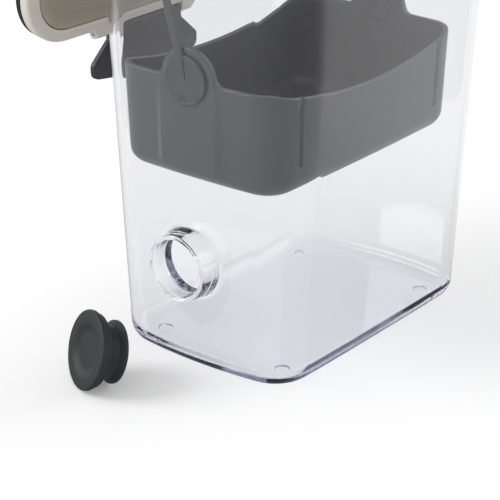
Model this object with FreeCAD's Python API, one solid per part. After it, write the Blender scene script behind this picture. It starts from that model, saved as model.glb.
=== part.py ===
import FreeCAD, Part
import math
import os

# Herb keeper: a tall clear tub with a lifting basket, a hinged lid and a drain spout with a plug.
# Millimetres. Origin on the table under the middle of the tub, +X along the tub, +Z up.
# Rest is the photographed state: lid hanging open behind, basket raised, plug out on the table.

V = FreeCAD.Vector
X_AXIS = V(1, 0, 0)
Y_AXIS = V(0, 1, 0)
Z_AXIS = V(0, 0, 1)
ORIGIN = V(0, 0, 0)

# Clearances
fit_gap = 0.15          # a fixed piece in its groove or pocket
pin_gap = 0.06          # a pin in its hole, on the radius
running_gap = 0.4       # between pieces that pass each other
seal_gap = 0.1          # between the seal and the rim when the lid is shut

# Tub
tub_half_length = 60.0        # at the underside, middle of the short sides
tub_half_width = 39.6
tub_length_draft = 0.020      # growth of each half size per millimetre of height
tub_width_draft = 0.053
tub_corner_radius = 15.7
tub_corner_draft = 0.023
short_side_bow = 4.3          # how far the short sides bulge at the underside
short_bow_loss = 0.0135       # and how much flatter they get per millimetre of height
long_side_bow = 0.75
tub_height = 205.0
tub_wall = 2.0
tub_floor = 3.4
tub_bottom_round = 6.5
tub_inner_round = 4.5
mark_radius = 2.8             # round marks in the underside
mark_depth = 0.6
mark_inset_x = 17.0           # short side to the middle of a mark
mark_inset_y = 12.6

# Drain spout on the left short side
spout_z = 42.2
spout_reach = 8.2             # from the wall to the mouth
spout_mouth_radius = 12.2
spout_root_radius = 13.0
spout_bore_radius = 10.7
spout_bead = 1.2              # flare at the root, both wide and long
spout_mouth_round = 0.5

# Rim collar
collar_cap = 3.0              # above the tub's rim
collar_depth = 9.0
collar_outset = 2.4           # beyond the tub's outside
collar_lip = 1.2              # inside the tub's wall
collar_edge_round = 0.8
collar_root = 1.5             # how deep added pieces run into the collar or the lid

# Lid, given as it lies shut
seal_thick = 2.6
lid_thick = 4.3
lid_border_front = 4.4
lid_border_side = 6.2
lid_recess = 3.0
panel_thick = 1.0
lid_edge_round = 1.0
lid_rib_thick = 1.6
lid_rib_depth = 5.2
lid_rib_inset = 0.8           # rib to the collar's lip
lid_open_angle = 260.0

# Lid hinge
hinge_gap = 3.5               # lid's back edge to the hinge axis
hinge_drop = 3.0              # lid's top face to the hinge axis
knuckle_radius = 3.0
hinge_pin_radius = 1.2
hinge_x = 26.0
collar_knuckle_width = 8.0
lid_knuckle_width = 5.0
bracket_depth = 2.4           # into the collar's top land
bracket_thick = 4.0
knuckle_web_drop = 0.8        # the lid's knuckle web below the axis

# Front latch
latch_pin_radius = 0.9
latch_pin_reach = 1.7         # lid's front edge to the latch pin
latch_lug_outer = 29.6
latch_lug_tip = 26.8
latch_length = 19.7
latch_root_half_width = 20.2
latch_end_half_width = 29.4
latch_flare_start = 3.4       # below the pin
latch_flare_end = 11.5
latch_corner_round = 5.0
latch_end_sag = 2.6
latch_thick = 2.1
latch_notch_depth = 1.3
catch_reach = 1.3             # nose on the collar
catch_nose_half_width = 15.0
catch_drop = 7.5              # collar's top to the nose's underside
catch_nose_height = 2.5
catch_hook_height = 2.8
latch_open_angle = 100.0      # from hooked to hanging free

# Basket
basket_bottom = 70.0
basket_height = 37.8
basket_end_gap = 2.4          # tub's inside at the underside to the basket's rim
basket_side_gap = 0.6
basket_offset_x = -1.8        # hangs a little off the middle
basket_offset_y = 2.4
basket_length_draft = 0.03
basket_width_draft = 0.03
basket_corner_step = 3.7      # how much tighter its corners are than the tub's
basket_short_bow = 1.5
basket_long_bow = 1.0
basket_wall = 2.0
basket_floor = 2.0
basket_bottom_round = 6.5
basket_inner_round = 4.5
rim_dip = 6.8                 # how far the long sides dip in the middle
rim_dip_end = 3.6             # short side to the end of the dip
pivot_rise = 0.2              # pivot above the rim
ear_radius = 11.5             # about the pivot
ear_fillet = 3.5
pad_half_width = 13.2
pad_proud = 0.3
groove_inset = 15.6           # short side to a groove
groove_width = 1.6
groove_depth = 0.9
groove_stop = 10.5            # above the basket's underside
slot_length = 15.0
slot_width = 3.2
slot_pitch_x = 24.0
slot_pitch_y = 9.0
slot_columns = 3
slot_rows = 5

# Carrying handle of the basket
hub_radius = 8.7
hub_gap = 0.15
hub_edge_round = 0.5
strap_thick = 1.1
strap_width = 4.0
handle_rise = 86.0            # pivot to the underside of the strap's top
handle_bend = 26.0
handle_lean = 16.6            # towards the back
grip_half_length = 24.0
grip_width = 11.0
grip_thick = 4.0
grip_round = 1.8
stud_radius = 3.0
stud_tip_radius = 2.1
stud_head_radius = 5.5
stud_head_thick = 1.2
stud_head_round = 0.6
stud_head_gap = 0.3           # head to the ear's inside
hub_skin = 0.4                # left outside the stud's tip

# Loose drain plug, lying on its flange and its end lip
plug_flange_overhang = 2.1    # beyond the spout's mouth
plug_flange_thick = 3.2
plug_step_overhang = 1.0
plug_step_thick = 0.9
plug_neck_gap = 1.1           # inside the spout's bore
plug_neck_land = 1.0          # straight part of the neck
plug_neck_slope = 0.6
plug_lip_grip = 0.6           # beyond the spout's bore
plug_lip_thick = 1.4
plug_length = 11.6
plug_bore_radius = 7.1        # hollow in the inner end
plug_web = 1.9                # left between the hollow and the step
plug_dish_radius = 10.4
plug_dish_depth = 1.3
plug_dish_slope = 1.6
plug_bevel = 1.2
plug_bevel_depth = 0.35
plug_edge_round = 1.0
plug_x = -93.8
plug_y = 21.0
plug_heading = -25.0          # turn of its axis about Z, degrees

# Derived sizes and places
collar_top = tub_height + collar_cap
lid_bottom = collar_top + seal_gap + seal_thick
lid_top = lid_bottom + lid_thick
top_half_width = tub_half_width + tub_width_draft * collar_top
lid_half_width = top_half_width + collar_outset
lid_half_length = tub_half_length + tub_length_draft * collar_top + collar_outset
lid_corner_radius = tub_corner_radius + tub_corner_draft * collar_top + collar_outset
lid_short_bow = short_side_bow - short_bow_loss * collar_top
hinge_y = lid_half_width + hinge_gap
hinge_z = lid_top - hinge_drop
latch_y = -(lid_half_width + latch_pin_reach)
latch_z = lid_bottom + lid_thick / 2
latch_lug_radius = lid_thick / 2
latch_lug_inner = latch_root_half_width + running_gap
catch_nose_z = collar_top - catch_drop
mark_x = tub_half_length - mark_inset_x
mark_y = tub_half_width - mark_inset_y
basket_half_length = tub_half_length - tub_wall - basket_end_gap
basket_half_width = tub_half_width - tub_wall - basket_side_gap
basket_corner_radius = tub_corner_radius - basket_corner_step
rim_dip_half_span = basket_half_length - rim_dip_end
groove_x = basket_half_length - groove_inset
basket_rim = basket_bottom + basket_height
pivot_z = basket_rim + pivot_rise
ear_top = pivot_z + ear_radius
plug_flange_radius = spout_mouth_radius + plug_flange_overhang
plug_step_radius = spout_mouth_radius + plug_step_overhang
plug_neck_radius = spout_bore_radius - plug_neck_gap
plug_lip_radius = spout_bore_radius + plug_lip_grip
clear_of = 10.0               # how far cutting shapes run past what they cut
collar_bottom = collar_top - collar_depth


def box(x0, x1, y0, y1, z0, z1):
    """A block between two corners."""
    return Part.makeBox(x1 - x0, y1 - y0, z1 - z0, V(x0, y0, z0))


def rod_x(radius, x0, x1, y, z):
    """A round rod along X."""
    return Part.makeCylinder(radius, x1 - x0, V(x0, y, z), X_AXIS)


def slide(shape, x, y, z):
    """A moved copy."""
    moved = shape.copy()
    moved.translate(V(x, y, z))
    return moved


def mirror_x(shape):
    """The copy on the other side of the YZ plane."""
    return shape.mirror(ORIGIN, X_AXIS)


def flank(p, q, centre):
    """Arc from p to q about the centre, by the short way."""
    middle = (p + q) * 0.5 - centre
    radius = (p - centre).Length
    middle.normalize()
    return Part.Arc(p, centre + middle * radius, q).toShape()


def outline(half_length, half_width, corner, bow_x, bow_y, inset, z):
    """Closed outline of eight arcs: four bulging sides and four round corners, moved in by inset.

    Each side is an arc through its middle point and its bow; each corner circle touches both sides.
    """
    big_x = (half_width ** 2 + bow_x ** 2) / (2 * bow_x)
    big_y = (half_length ** 2 + bow_y ** 2) / (2 * bow_y)
    reach_x = half_length - big_x
    reach_y = half_width - big_y
    first = big_x - corner
    second = big_y - corner
    span = math.hypot(reach_x, reach_y)
    along = (first ** 2 - second ** 2 + span ** 2) / (2 * span)
    across = math.sqrt(first ** 2 - along ** 2)
    ux = -reach_x / span
    uy = reach_y / span
    cx = reach_x + ux * along - uy * across
    cy = uy * along + ux * across
    if cx < 0 or cy < 0:
        cx = reach_x + ux * along + uy * across
        cy = uy * along - ux * across
    small = corner - inset
    to_side = math.atan2(cy, cx - reach_x)
    to_long = math.atan2(cy - reach_y, cx)
    px = cx + small * math.cos(to_side)
    py = cy + small * math.sin(to_side)
    qx = cx + small * math.cos(to_long)
    qy = cy + small * math.sin(to_long)
    edges = []
    quarter = [(1, 1), (-1, 1), (-1, -1), (1, -1)]
    for sx, sy in quarter:
        centre = V(sx * cx, sy * cy, z)
        side = V(sx * px, sy * py, z)
        long = V(sx * qx, sy * qy, z)
        corner_edge = flank(side, long, centre)
        if sx * sy > 0:
            edges.append(("corner", corner_edge, side, long))
        else:
            edges.append(("corner", flank(long, side, centre), long, side))
    ring = []
    for index, item in enumerate(edges):
        ring.append(item[1])
        start = item[3]
        end = edges[(index + 1) % 4][2]
        if index % 2 == 0:
            sign = 1 if index == 0 else -1
            middle = V(0, sign * (half_width - inset), z)
        else:
            sign = -1 if index == 1 else 1
            middle = V(sign * (half_length - inset), 0, z)
        ring.append(Part.Arc(start, middle, end).toShape())
    return Part.Wire(ring)


def tub_outline(z, inset):
    """The tub's outline at a height, moved in by inset."""
    return outline(
        tub_half_length + tub_length_draft * z,
        tub_half_width + tub_width_draft * z,
        tub_corner_radius + tub_corner_draft * z,
        short_side_bow - short_bow_loss * z,
        long_side_bow, inset, z)


def basket_outline(z, inset):
    """The basket's outline at a height, moved in by inset."""
    below = basket_rim - z
    return outline(
        basket_half_length - basket_length_draft * below,
        basket_half_width - basket_width_draft * below,
        basket_corner_radius, basket_short_bow, basket_long_bow, inset, z)


def between(low, high):
    """Solid between two outlines."""
    return Part.makeLoft([low, high], True, True)


def rim_ring(z0, z1, outer_inset, inner_inset):
    """Straight ring that follows the tub's outline at the collar's top."""
    outer = Part.Face(tub_outline(collar_top, outer_inset))
    inner = Part.Face(tub_outline(collar_top, inner_inset))
    ring = outer.cut(inner).extrude(V(0, 0, z1 - z0))
    return slide(ring, 0, 0, z0 - collar_top)


def edges_at(shape, z):
    """Edges that lie level at a height."""
    found = []
    for edge in shape.Edges:
        bounds = edge.BoundBox
        if abs(bounds.ZMin - z) < 0.01 and abs(bounds.ZMax - z) < 0.01:
            found.append(edge)
    return found


def edges_at_side(shape, x):
    """Edges that lie at a distance from the YZ plane, on both sides, and stand square to X and Z."""
    found = []
    for edge in shape.Edges:
        bounds = edge.BoundBox
        if bounds.XLength < 0.01 and bounds.ZLength < 0.01 and abs(abs(bounds.XMin) - x) < 0.01:
            found.append(edge)
    return found


def export(name, shape):
    """Write one sub-part."""
    solid = shape.removeSplitter()
    if len(solid.Solids) == 1:
        solid = solid.Solids[0]
    solid.exportStep("parts/" + name + ".step")
    print(name, len(solid.Solids), round(solid.Volume), solid.isValid())


def make_tub():
    """Clear tub with its spout and four moulded marks in the underside."""
    outer = between(tub_outline(0, 0), tub_outline(tub_height, 0))
    outer = outer.makeFillet(tub_bottom_round, edges_at(outer, 0))
    inner = between(tub_outline(tub_floor, tub_wall), tub_outline(tub_height + 1, tub_wall))
    inner = inner.makeFillet(tub_inner_round, edges_at(inner, tub_floor))
    wall_x = tub_half_length + tub_length_draft * spout_z
    mouth_x = wall_x + spout_reach
    root_x = wall_x - tub_wall / 2
    out_left = V(-1, 0, 0)
    root = V(-root_x, 0, spout_z)
    tube = Part.makeCone(spout_root_radius, spout_mouth_radius, mouth_x - root_x, root, out_left)
    mouth_edges = [e for e in tube.Edges if abs(e.BoundBox.XMax + mouth_x) < 0.01]
    tube = tube.makeFillet(spout_mouth_round, mouth_edges)
    bead_length = tub_wall / 2 + spout_bead
    bead = Part.makeCone(spout_root_radius + spout_bead, spout_root_radius, bead_length, root, out_left)
    bore = rod_x(spout_bore_radius, -mouth_x - clear_of, -wall_x + 2 * tub_wall, 0, spout_z)
    tub = outer.fuse(tube).fuse(bead).cut(inner).cut(bore)
    for sx in (-1, 1):
        for sy in (-1, 1):
            tub = tub.cut(Part.makeCylinder(mark_radius, mark_depth, V(sx * mark_x, sy * mark_y, 0)))
    return tub


def collar_station(x):
    """Hinge knuckle of the collar: a bracket on the top land and a barrel."""
    half = collar_knuckle_width / 2
    post = box(x - half, x + half, lid_half_width - bracket_depth, lid_half_width - fit_gap,
               collar_top - collar_root, hinge_z + bracket_thick / 2)
    arm = box(x - half, x + half, lid_half_width - bracket_depth, hinge_y,
              hinge_z - bracket_thick / 2, hinge_z + bracket_thick / 2)
    barrel = rod_x(knuckle_radius, x - half, x + half, hinge_y, hinge_z)
    return post.fuse(arm).fuse(barrel)


def make_collar():
    """Frame that caps the tub's rim and carries the hinge and the catch."""
    outer = between(tub_outline(collar_bottom, -collar_outset), tub_outline(collar_top, -collar_outset))
    outer = outer.makeFillet(collar_edge_round, edges_at(outer, collar_top))
    mouth_inset = tub_wall + collar_lip
    mouth = between(tub_outline(collar_bottom - 1, mouth_inset), tub_outline(collar_top + 1, mouth_inset))
    groove_out = between(tub_outline(collar_bottom - 1, -fit_gap), tub_outline(tub_height, -fit_gap))
    groove_in = between(
        tub_outline(collar_bottom - 2, tub_wall + fit_gap), tub_outline(tub_height + 1, tub_wall + fit_gap))
    collar = outer.cut(mouth).cut(groove_out.cut(groove_in))
    nose = box(-catch_nose_half_width, catch_nose_half_width,
               -lid_half_width - catch_reach, -lid_half_width + collar_root,
               catch_nose_z, catch_nose_z + catch_nose_height)
    collar = collar.fuse(nose)
    reach = hinge_x + clear_of
    hole = rod_x(hinge_pin_radius + pin_gap, -reach, reach, hinge_y, hinge_z)
    for x in (-hinge_x, hinge_x):
        collar = collar.fuse(collar_station(x))
    return collar.cut(hole)


def lid_knuckle(x):
    """Hinge knuckle of the lid, beside a collar knuckle."""
    half = lid_knuckle_width / 2
    web = box(x - half, x + half, lid_half_width - collar_root, hinge_y,
              hinge_z - knuckle_web_drop, lid_top)
    barrel = rod_x(knuckle_radius, x - half, x + half, hinge_y, hinge_z)
    return web.fuse(barrel)


def bracket_notches():
    """Room in the lid's back edge for the collar's brackets."""
    half = collar_knuckle_width / 2 + running_gap
    front = lid_half_width - bracket_depth - running_gap
    notches = []
    for x in (-hinge_x, hinge_x):
        notches.append(box(x - half, x + half, front, hinge_y + clear_of,
                           collar_top - clear_of, lid_top + clear_of))
    return notches


def lug_outline(sign):
    """Plan of one latch lug, with its outer end cut on a slant."""
    back = -lid_half_width + collar_root
    tip = latch_y
    points = [
        V(sign * latch_lug_inner, back, lid_bottom),
        V(sign * latch_lug_inner, tip, lid_bottom),
        V(sign * latch_lug_tip, tip, lid_bottom),
        V(sign * latch_lug_outer, back, lid_bottom),
    ]
    return Part.Face(Part.makePolygon(points + [points[0]]))


def recess_outline(inset, z):
    """Outline of the lid's recess: a wider border at the short sides than at the long ones."""
    return outline(
        lid_half_length - lid_border_side,
        lid_half_width - lid_border_front,
        lid_corner_radius - (lid_border_side + lid_border_front) / 2,
        lid_short_bow, long_side_bow, inset, z)


def make_lid():
    """Lid shell as it lies shut: flat tray with a border, a rib below and hinge knuckles."""
    plate = Part.Face(tub_outline(collar_top, -collar_outset))
    shell = slide(plate.extrude(V(0, 0, lid_thick)), 0, 0, lid_bottom - collar_top)
    shell = shell.makeFillet(lid_edge_round, edges_at(shell, lid_top))
    recess_z = lid_top - lid_recess
    pocket = Part.Face(recess_outline(0, recess_z)).extrude(V(0, 0, lid_recess + clear_of))
    pocket = pocket.makeFillet(lid_edge_round, edges_at(pocket, recess_z))
    rib_outer = tub_wall + collar_lip + lid_rib_inset
    rib = rim_ring(lid_bottom - lid_rib_depth, lid_bottom, rib_outer, rib_outer + lid_rib_thick)
    shell = shell.cut(pocket).fuse(rib)
    for notch in bracket_notches():
        shell = shell.cut(notch)
    mouth = box(-latch_lug_inner, latch_lug_inner, -lid_half_width - clear_of,
                -lid_half_width + latch_notch_depth, lid_bottom - clear_of, lid_top + clear_of)
    shell = shell.cut(mouth)
    beside = (collar_knuckle_width + lid_knuckle_width) / 2 + running_gap
    for x in (-hinge_x, hinge_x):
        shell = shell.fuse(lid_knuckle(x - beside)).fuse(lid_knuckle(x + beside))
    for sign in (-1, 1):
        lug = lug_outline(sign).extrude(V(0, 0, lid_thick))
        ends = sorted((sign * latch_lug_inner, sign * latch_lug_tip))
        nose = rod_x(latch_lug_radius, ends[0], ends[1], latch_y, latch_z)
        shell = shell.fuse(lug).fuse(nose)
    hole = rod_x(latch_pin_radius + pin_gap, -latch_lug_outer, latch_lug_outer, latch_y, latch_z)
    shell = shell.cut(hole)
    reach = hinge_x + beside + lid_knuckle_width
    return shell.cut(rod_x(hinge_pin_radius + pin_gap, -reach, reach, hinge_y, hinge_z))


def make_panel():
    """Inset panel on the floor of the lid's recess."""
    face = Part.Face(recess_outline(lid_edge_round + fit_gap, lid_top - lid_recess))
    return face.extrude(V(0, 0, panel_thick))


def make_seal():
    """Soft seal under the lid's border, round the rib."""
    inner = tub_wall + collar_lip + lid_rib_inset - fit_gap
    seal = rim_ring(lid_bottom - seal_thick, lid_bottom, fit_gap - collar_outset, inner)
    for notch in bracket_notches():
        seal = seal.cut(notch)
    return seal


def make_hinge_pin(x):
    """Pin through one hinge station."""
    half = collar_knuckle_width / 2 + running_gap + lid_knuckle_width
    return rod_x(hinge_pin_radius, x - half, x + half, hinge_y, hinge_z)


def latch_plan():
    """Outline of the latch flap, hooked: across X, down from the pin along Z, with an arched end."""
    y = latch_y
    root = latch_root_half_width
    wide = latch_end_half_width
    start = latch_z - latch_flare_start
    end = latch_z - latch_flare_end
    low = latch_z - latch_length
    side = low + latch_end_sag
    edges = [
        Part.makeLine(V(-root, y, latch_z), V(root, y, latch_z)),
        Part.makeLine(V(root, y, latch_z), V(root, y, start)),
        Part.makeLine(V(root, y, start), V(wide, y, end)),
        Part.makeLine(V(wide, y, end), V(wide, y, side)),
        Part.Arc(V(wide, y, side), V(0, y, low), V(-wide, y, side)).toShape(),
        Part.makeLine(V(-wide, y, side), V(-wide, y, end)),
        Part.makeLine(V(-wide, y, end), V(-root, y, start)),
        Part.makeLine(V(-root, y, start), V(-root, y, latch_z)),
    ]
    return Part.Face(Part.Wire(edges))


def make_latch():
    """Front latch as it hooks under the collar's nose."""
    flap = latch_plan().extrude(V(0, -latch_thick, 0))
    side = latch_z - latch_length + latch_end_sag
    corners = [e for e in edges_at_side(flap, latch_end_half_width) if abs(e.BoundBox.ZMin - side) < 0.01]
    flap = flap.makeFillet(latch_corner_round, corners)
    barrel = rod_x(latch_lug_radius, -latch_root_half_width, latch_root_half_width, latch_y, latch_z)
    hook_top = catch_nose_z - running_gap
    hook = box(-catch_nose_half_width, catch_nose_half_width, latch_y - latch_thick / 2,
               -lid_half_width - running_gap, hook_top - catch_hook_height, hook_top)
    latch = flap.fuse(barrel).fuse(hook)
    reach = latch_root_half_width + clear_of
    return latch.cut(rod_x(latch_pin_radius + pin_gap, -reach, reach, latch_y, latch_z))


def make_latch_pin():
    """Pin through both lugs and the latch."""
    return rod_x(latch_pin_radius, -latch_lug_tip, latch_lug_tip, latch_y, latch_z)


def open_lid(shape):
    """Turn a piece of the shut lid to where it hangs open behind the tub."""
    turned = shape.copy()
    turned.rotate(V(0, hinge_y, hinge_z), X_AXIS, -lid_open_angle)
    return turned


def free_latch(shape):
    """Turn the hooked latch about its pin so that it hangs down once the lid is open."""
    turned = shape.copy()
    turned.rotate(V(0, latch_y, latch_z), X_AXIS, -latch_open_angle)
    return open_lid(turned)


def ear_profile():
    """Area above the rim on a short side that is cut away, leaving the ear."""
    join_z = basket_rim + ear_fillet
    gap_z = pivot_z - join_z
    gap_y = math.sqrt((ear_radius + ear_fillet) ** 2 - gap_z ** 2)
    lean = math.atan2(gap_z, gap_y)
    touch_y = ear_radius * math.cos(lean)
    touch_z = pivot_z - ear_radius * math.sin(lean)
    half_turn = math.radians(45) + lean / 2
    bend_y = gap_y - ear_fillet * math.sin(half_turn)
    bend_z = join_z - ear_fillet * math.cos(half_turn)
    far = basket_half_width + clear_of
    high = ear_top + clear_of
    rim = basket_rim
    edges = [
        Part.makeLine(V(0, -far, rim), V(0, -gap_y, rim)),
        Part.Arc(V(0, -gap_y, rim), V(0, -bend_y, bend_z), V(0, -touch_y, touch_z)).toShape(),
        Part.Arc(V(0, -touch_y, touch_z), V(0, 0, ear_top), V(0, touch_y, touch_z)).toShape(),
        Part.Arc(V(0, touch_y, touch_z), V(0, bend_y, bend_z), V(0, gap_y, rim)).toShape(),
        Part.makeLine(V(0, gap_y, rim), V(0, far, rim)),
        Part.makeLine(V(0, far, rim), V(0, far, high)),
        Part.makeLine(V(0, far, high), V(0, -far, high)),
        Part.makeLine(V(0, -far, high), V(0, -far, rim)),
    ]
    return Part.Face(Part.Wire(edges))


def dip_profile():
    """Area above the long sides' dipping rim."""
    far = rim_dip_half_span
    high = ear_top + clear_of
    y = -basket_half_width - clear_of
    low = basket_rim - rim_dip
    edges = [
        Part.Arc(V(-far, y, basket_rim), V(0, y, low), V(far, y, basket_rim)).toShape(),
        Part.makeLine(V(far, y, basket_rim), V(far, y, high)),
        Part.makeLine(V(far, y, high), V(-far, y, high)),
        Part.makeLine(V(-far, y, high), V(-far, y, basket_rim)),
    ]
    return Part.Face(Part.Wire(edges))


def make_basket():
    """Basket with an ear on each short side, dipping long sides and a slotted floor."""
    outer = between(basket_outline(basket_bottom, 0), basket_outline(ear_top + 1, 0))
    outer = outer.makeFillet(basket_bottom_round, edges_at(outer, basket_bottom))
    floor_z = basket_bottom + basket_floor
    inner = between(basket_outline(floor_z, basket_wall), basket_outline(ear_top + 2, basket_wall))
    inner = inner.makeFillet(basket_inner_round, edges_at(inner, floor_z))
    face_x = basket_half_length + pad_proud
    pad_low = basket_bottom + basket_bottom_round
    pad = box(-face_x, face_x, -pad_half_width, pad_half_width, pad_low, ear_top + 1)
    basket = outer.fuse(pad).cut(inner)
    far = basket_half_length + clear_of
    wide = basket_half_width + clear_of
    basket = basket.cut(slide(ear_profile().extrude(V(2 * far, 0, 0)), -far, 0, 0))
    basket = basket.cut(dip_profile().extrude(V(0, 2 * wide, 0)))
    basket = basket.cut(rod_x(stud_radius + pin_gap, -far, far, 0, pivot_z))
    for sx in (-1, 1):
        for sy in (-1, 1):
            basket = basket.cut(rim_groove(sx, sy))
    for column in range(slot_columns):
        for row in range(slot_rows):
            x = (column - (slot_columns - 1) / 2) * slot_pitch_x
            y = (row - (slot_rows - 1) / 2) * slot_pitch_y
            basket = basket.cut(floor_slot(x, y))
    return basket


def rim_groove(sx, sy):
    """Upright groove in a long side, near its end."""
    z0 = basket_bottom + groove_stop
    top = basket_rim + 1
    low_y = basket_half_width - basket_width_draft * (basket_rim - z0)
    high_y = basket_half_width + basket_width_draft
    bow = basket_long_bow * (groove_x / basket_half_length) ** 2
    points = [
        V(0, low_y - bow - groove_depth, z0),
        V(0, low_y + clear_of, z0),
        V(0, high_y + clear_of, top),
        V(0, high_y - bow - groove_depth, top),
    ]
    prism = Part.Face(Part.makePolygon(points + [points[0]])).extrude(V(groove_width, 0, 0))
    prism = slide(prism, sx * groove_x - groove_width / 2, 0, 0)
    if sy < 0:
        prism = prism.mirror(ORIGIN, Y_AXIS)
    return prism


def floor_slot(x, y):
    """Drain slot with round ends."""
    half = (slot_length - slot_width) / 2
    low = basket_bottom - 1
    deep = basket_floor + 2
    slot = box(x - half, x + half, y - slot_width / 2, y + slot_width / 2, low, low + deep)
    for end in (-half, half):
        slot = slot.fuse(Part.makeCylinder(slot_width / 2, deep, V(x + end, y, low)))
    return slot


def strap_area(outside, top, y):
    """Arch area under a strap: straight legs, round bends and a level top."""
    bend = handle_bend - (basket_half_length + pad_proud + hub_gap + strap_thick - outside)
    level = outside - bend
    knee = top - bend
    diagonal = bend * math.sqrt(0.5)
    arc_x = level + diagonal
    arc_z = knee + diagonal
    edges = [
        Part.makeLine(V(-outside, y, pivot_z), V(-outside, y, knee)),
        Part.Arc(V(-outside, y, knee), V(-arc_x, y, arc_z), V(-level, y, top)).toShape(),
        Part.makeLine(V(-level, y, top), V(level, y, top)),
        Part.Arc(V(level, y, top), V(arc_x, y, arc_z), V(outside, y, knee)).toShape(),
        Part.makeLine(V(outside, y, knee), V(outside, y, pivot_z)),
        Part.makeLine(V(outside, y, pivot_z), V(-outside, y, pivot_z)),
    ]
    return Part.Face(Part.Wire(edges))


def make_handle():
    """Strap handle with a round hub over each ear and a wider grip on top."""
    inner_x = basket_half_length + pad_proud + hub_gap
    outer_x = inner_x + strap_thick
    y = -strap_width / 2
    under = pivot_z + handle_rise
    strap = strap_area(outer_x, under + strap_thick, y).cut(strap_area(inner_x, under, y))
    handle = strap.extrude(V(0, strap_width, 0))
    grip = box(-grip_half_length, grip_half_length, -grip_width / 2, grip_width / 2,
               under, under + grip_thick)
    grip = grip.makeFillet(grip_round, grip.Edges)
    handle = handle.fuse(grip)
    hub = rod_x(hub_radius, inner_x, outer_x, 0, pivot_z)
    rim = [e for e in hub.Edges if abs(e.BoundBox.XMin - outer_x) < 0.01]
    hub = hub.makeFillet(hub_edge_round, rim)
    reach = outer_x - hub_skin
    hole = rod_x(stud_tip_radius + pin_gap, -reach, reach, 0, pivot_z)
    return handle.fuse(hub).fuse(mirror_x(hub)).cut(hole)


def make_stud():
    """Stud from inside the ear into the handle's hub, right side."""
    head_face = basket_half_length - basket_wall - stud_head_gap
    hub_in = basket_half_length + pad_proud + hub_gap
    end = hub_in + strap_thick - hub_skin - pin_gap
    shank = rod_x(stud_radius, head_face, hub_in - pin_gap, 0, pivot_z)
    tip = rod_x(stud_tip_radius, head_face, end, 0, pivot_z)
    head_end = head_face - stud_head_thick
    head = rod_x(stud_head_radius, head_end, head_face, 0, pivot_z)
    rim = [e for e in head.Edges if abs(e.BoundBox.XMax - head_end) < 0.01]
    head = head.makeFillet(stud_head_round, rim)
    return shank.fuse(tip).fuse(head)


def lean_handle(shape):
    """Turn a piece of the upright handle to its lean."""
    turned = shape.copy()
    turned.rotate(V(0, 0, pivot_z), X_AXIS, -handle_lean)
    return turned


def hang(shape):
    """Move a piece of the centred basket to where it hangs, a little off the middle."""
    return slide(shape, basket_offset_x, basket_offset_y, 0)


def make_plug():
    """Soft drain plug lying tilted on the table, on the rims of its flange and its lip."""
    flange = plug_flange_radius
    back = plug_flange_thick
    step = back + plug_step_thick
    neck = step + plug_neck_slope
    dish = plug_dish_radius
    hollow = step + plug_web
    profile = [
        (0, plug_dish_depth),
        (dish - plug_dish_slope, plug_dish_depth),
        (dish, plug_bevel_depth),
        (dish + plug_bevel, 0),
        (flange, 0),
        (flange, back),
        (plug_step_radius, back),
        (plug_step_radius, step),
        (plug_neck_radius, neck),
        (plug_neck_radius, neck + plug_neck_land),
        (plug_lip_radius, plug_length - plug_lip_thick),
        (plug_lip_radius, plug_length),
        (plug_bore_radius, plug_length),
        (plug_bore_radius, hollow),
        (0, hollow),
    ]
    points = [V(r, 0, z) for r, z in profile]
    plug = Part.Face(Part.makePolygon(points + [points[0]])).revolve(ORIGIN, Z_AXIS, 360)
    rims = []
    for edge in plug.Edges:
        size = edge.BoundBox
        if size.ZLength < 0.01 and abs(size.XMax - flange) < 0.01:
            rims.append(edge)
    plug = plug.makeFillet(plug_edge_round, rims)
    rise = plug_flange_radius - plug_lip_radius
    run = plug_length - back + plug_edge_round
    plug.rotate(ORIGIN, Y_AXIS, 90 + math.degrees(math.atan2(rise, run)))
    plug.rotate(ORIGIN, Z_AXIS, plug_heading)
    plug.translate(V(plug_x, plug_y, 0))
    plug.translate(V(0, 0, -plug.optimalBoundingBox().ZMin))
    return plug


os.makedirs("parts", exist_ok=True)

stud = make_stud()
export("tub", make_tub())
export("rim_collar", make_collar())
export("lid_shell", open_lid(make_lid()))
export("lid_inset_panel", open_lid(make_panel()))
export("lid_seal", open_lid(make_seal()))
export("hinge_pin_left", make_hinge_pin(-hinge_x))
export("hinge_pin_right", make_hinge_pin(hinge_x))
export("front_latch", free_latch(make_latch()))
export("latch_pin", open_lid(make_latch_pin()))
export("herb_basket", hang(make_basket()))
export("basket_handle", hang(lean_handle(make_handle())))
export("handle_stud_right", hang(lean_handle(stud)))
export("handle_stud_left", hang(lean_handle(mirror_x(stud))))
export("drain_plug", make_plug())
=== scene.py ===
import math

import bmesh
import bpy
import numpy as np
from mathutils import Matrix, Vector


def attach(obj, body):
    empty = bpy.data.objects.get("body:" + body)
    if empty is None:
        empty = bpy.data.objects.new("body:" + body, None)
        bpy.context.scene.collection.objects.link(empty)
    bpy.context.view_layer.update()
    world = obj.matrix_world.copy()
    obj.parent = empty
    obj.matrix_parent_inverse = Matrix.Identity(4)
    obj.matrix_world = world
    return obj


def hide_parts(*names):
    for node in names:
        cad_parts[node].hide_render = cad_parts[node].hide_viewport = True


bl_info = {
    "name": "Herb Keeper",
    "version": (1, 0, 0),
    "blender": (4, 5, 0),
    "location": "View3D > Sidebar > Herb Keeper",
    "description": "Builds a clear herb keeper with its basket, lid, latch and drain plug on a packed frame",
    "category": "Object",
}

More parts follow.
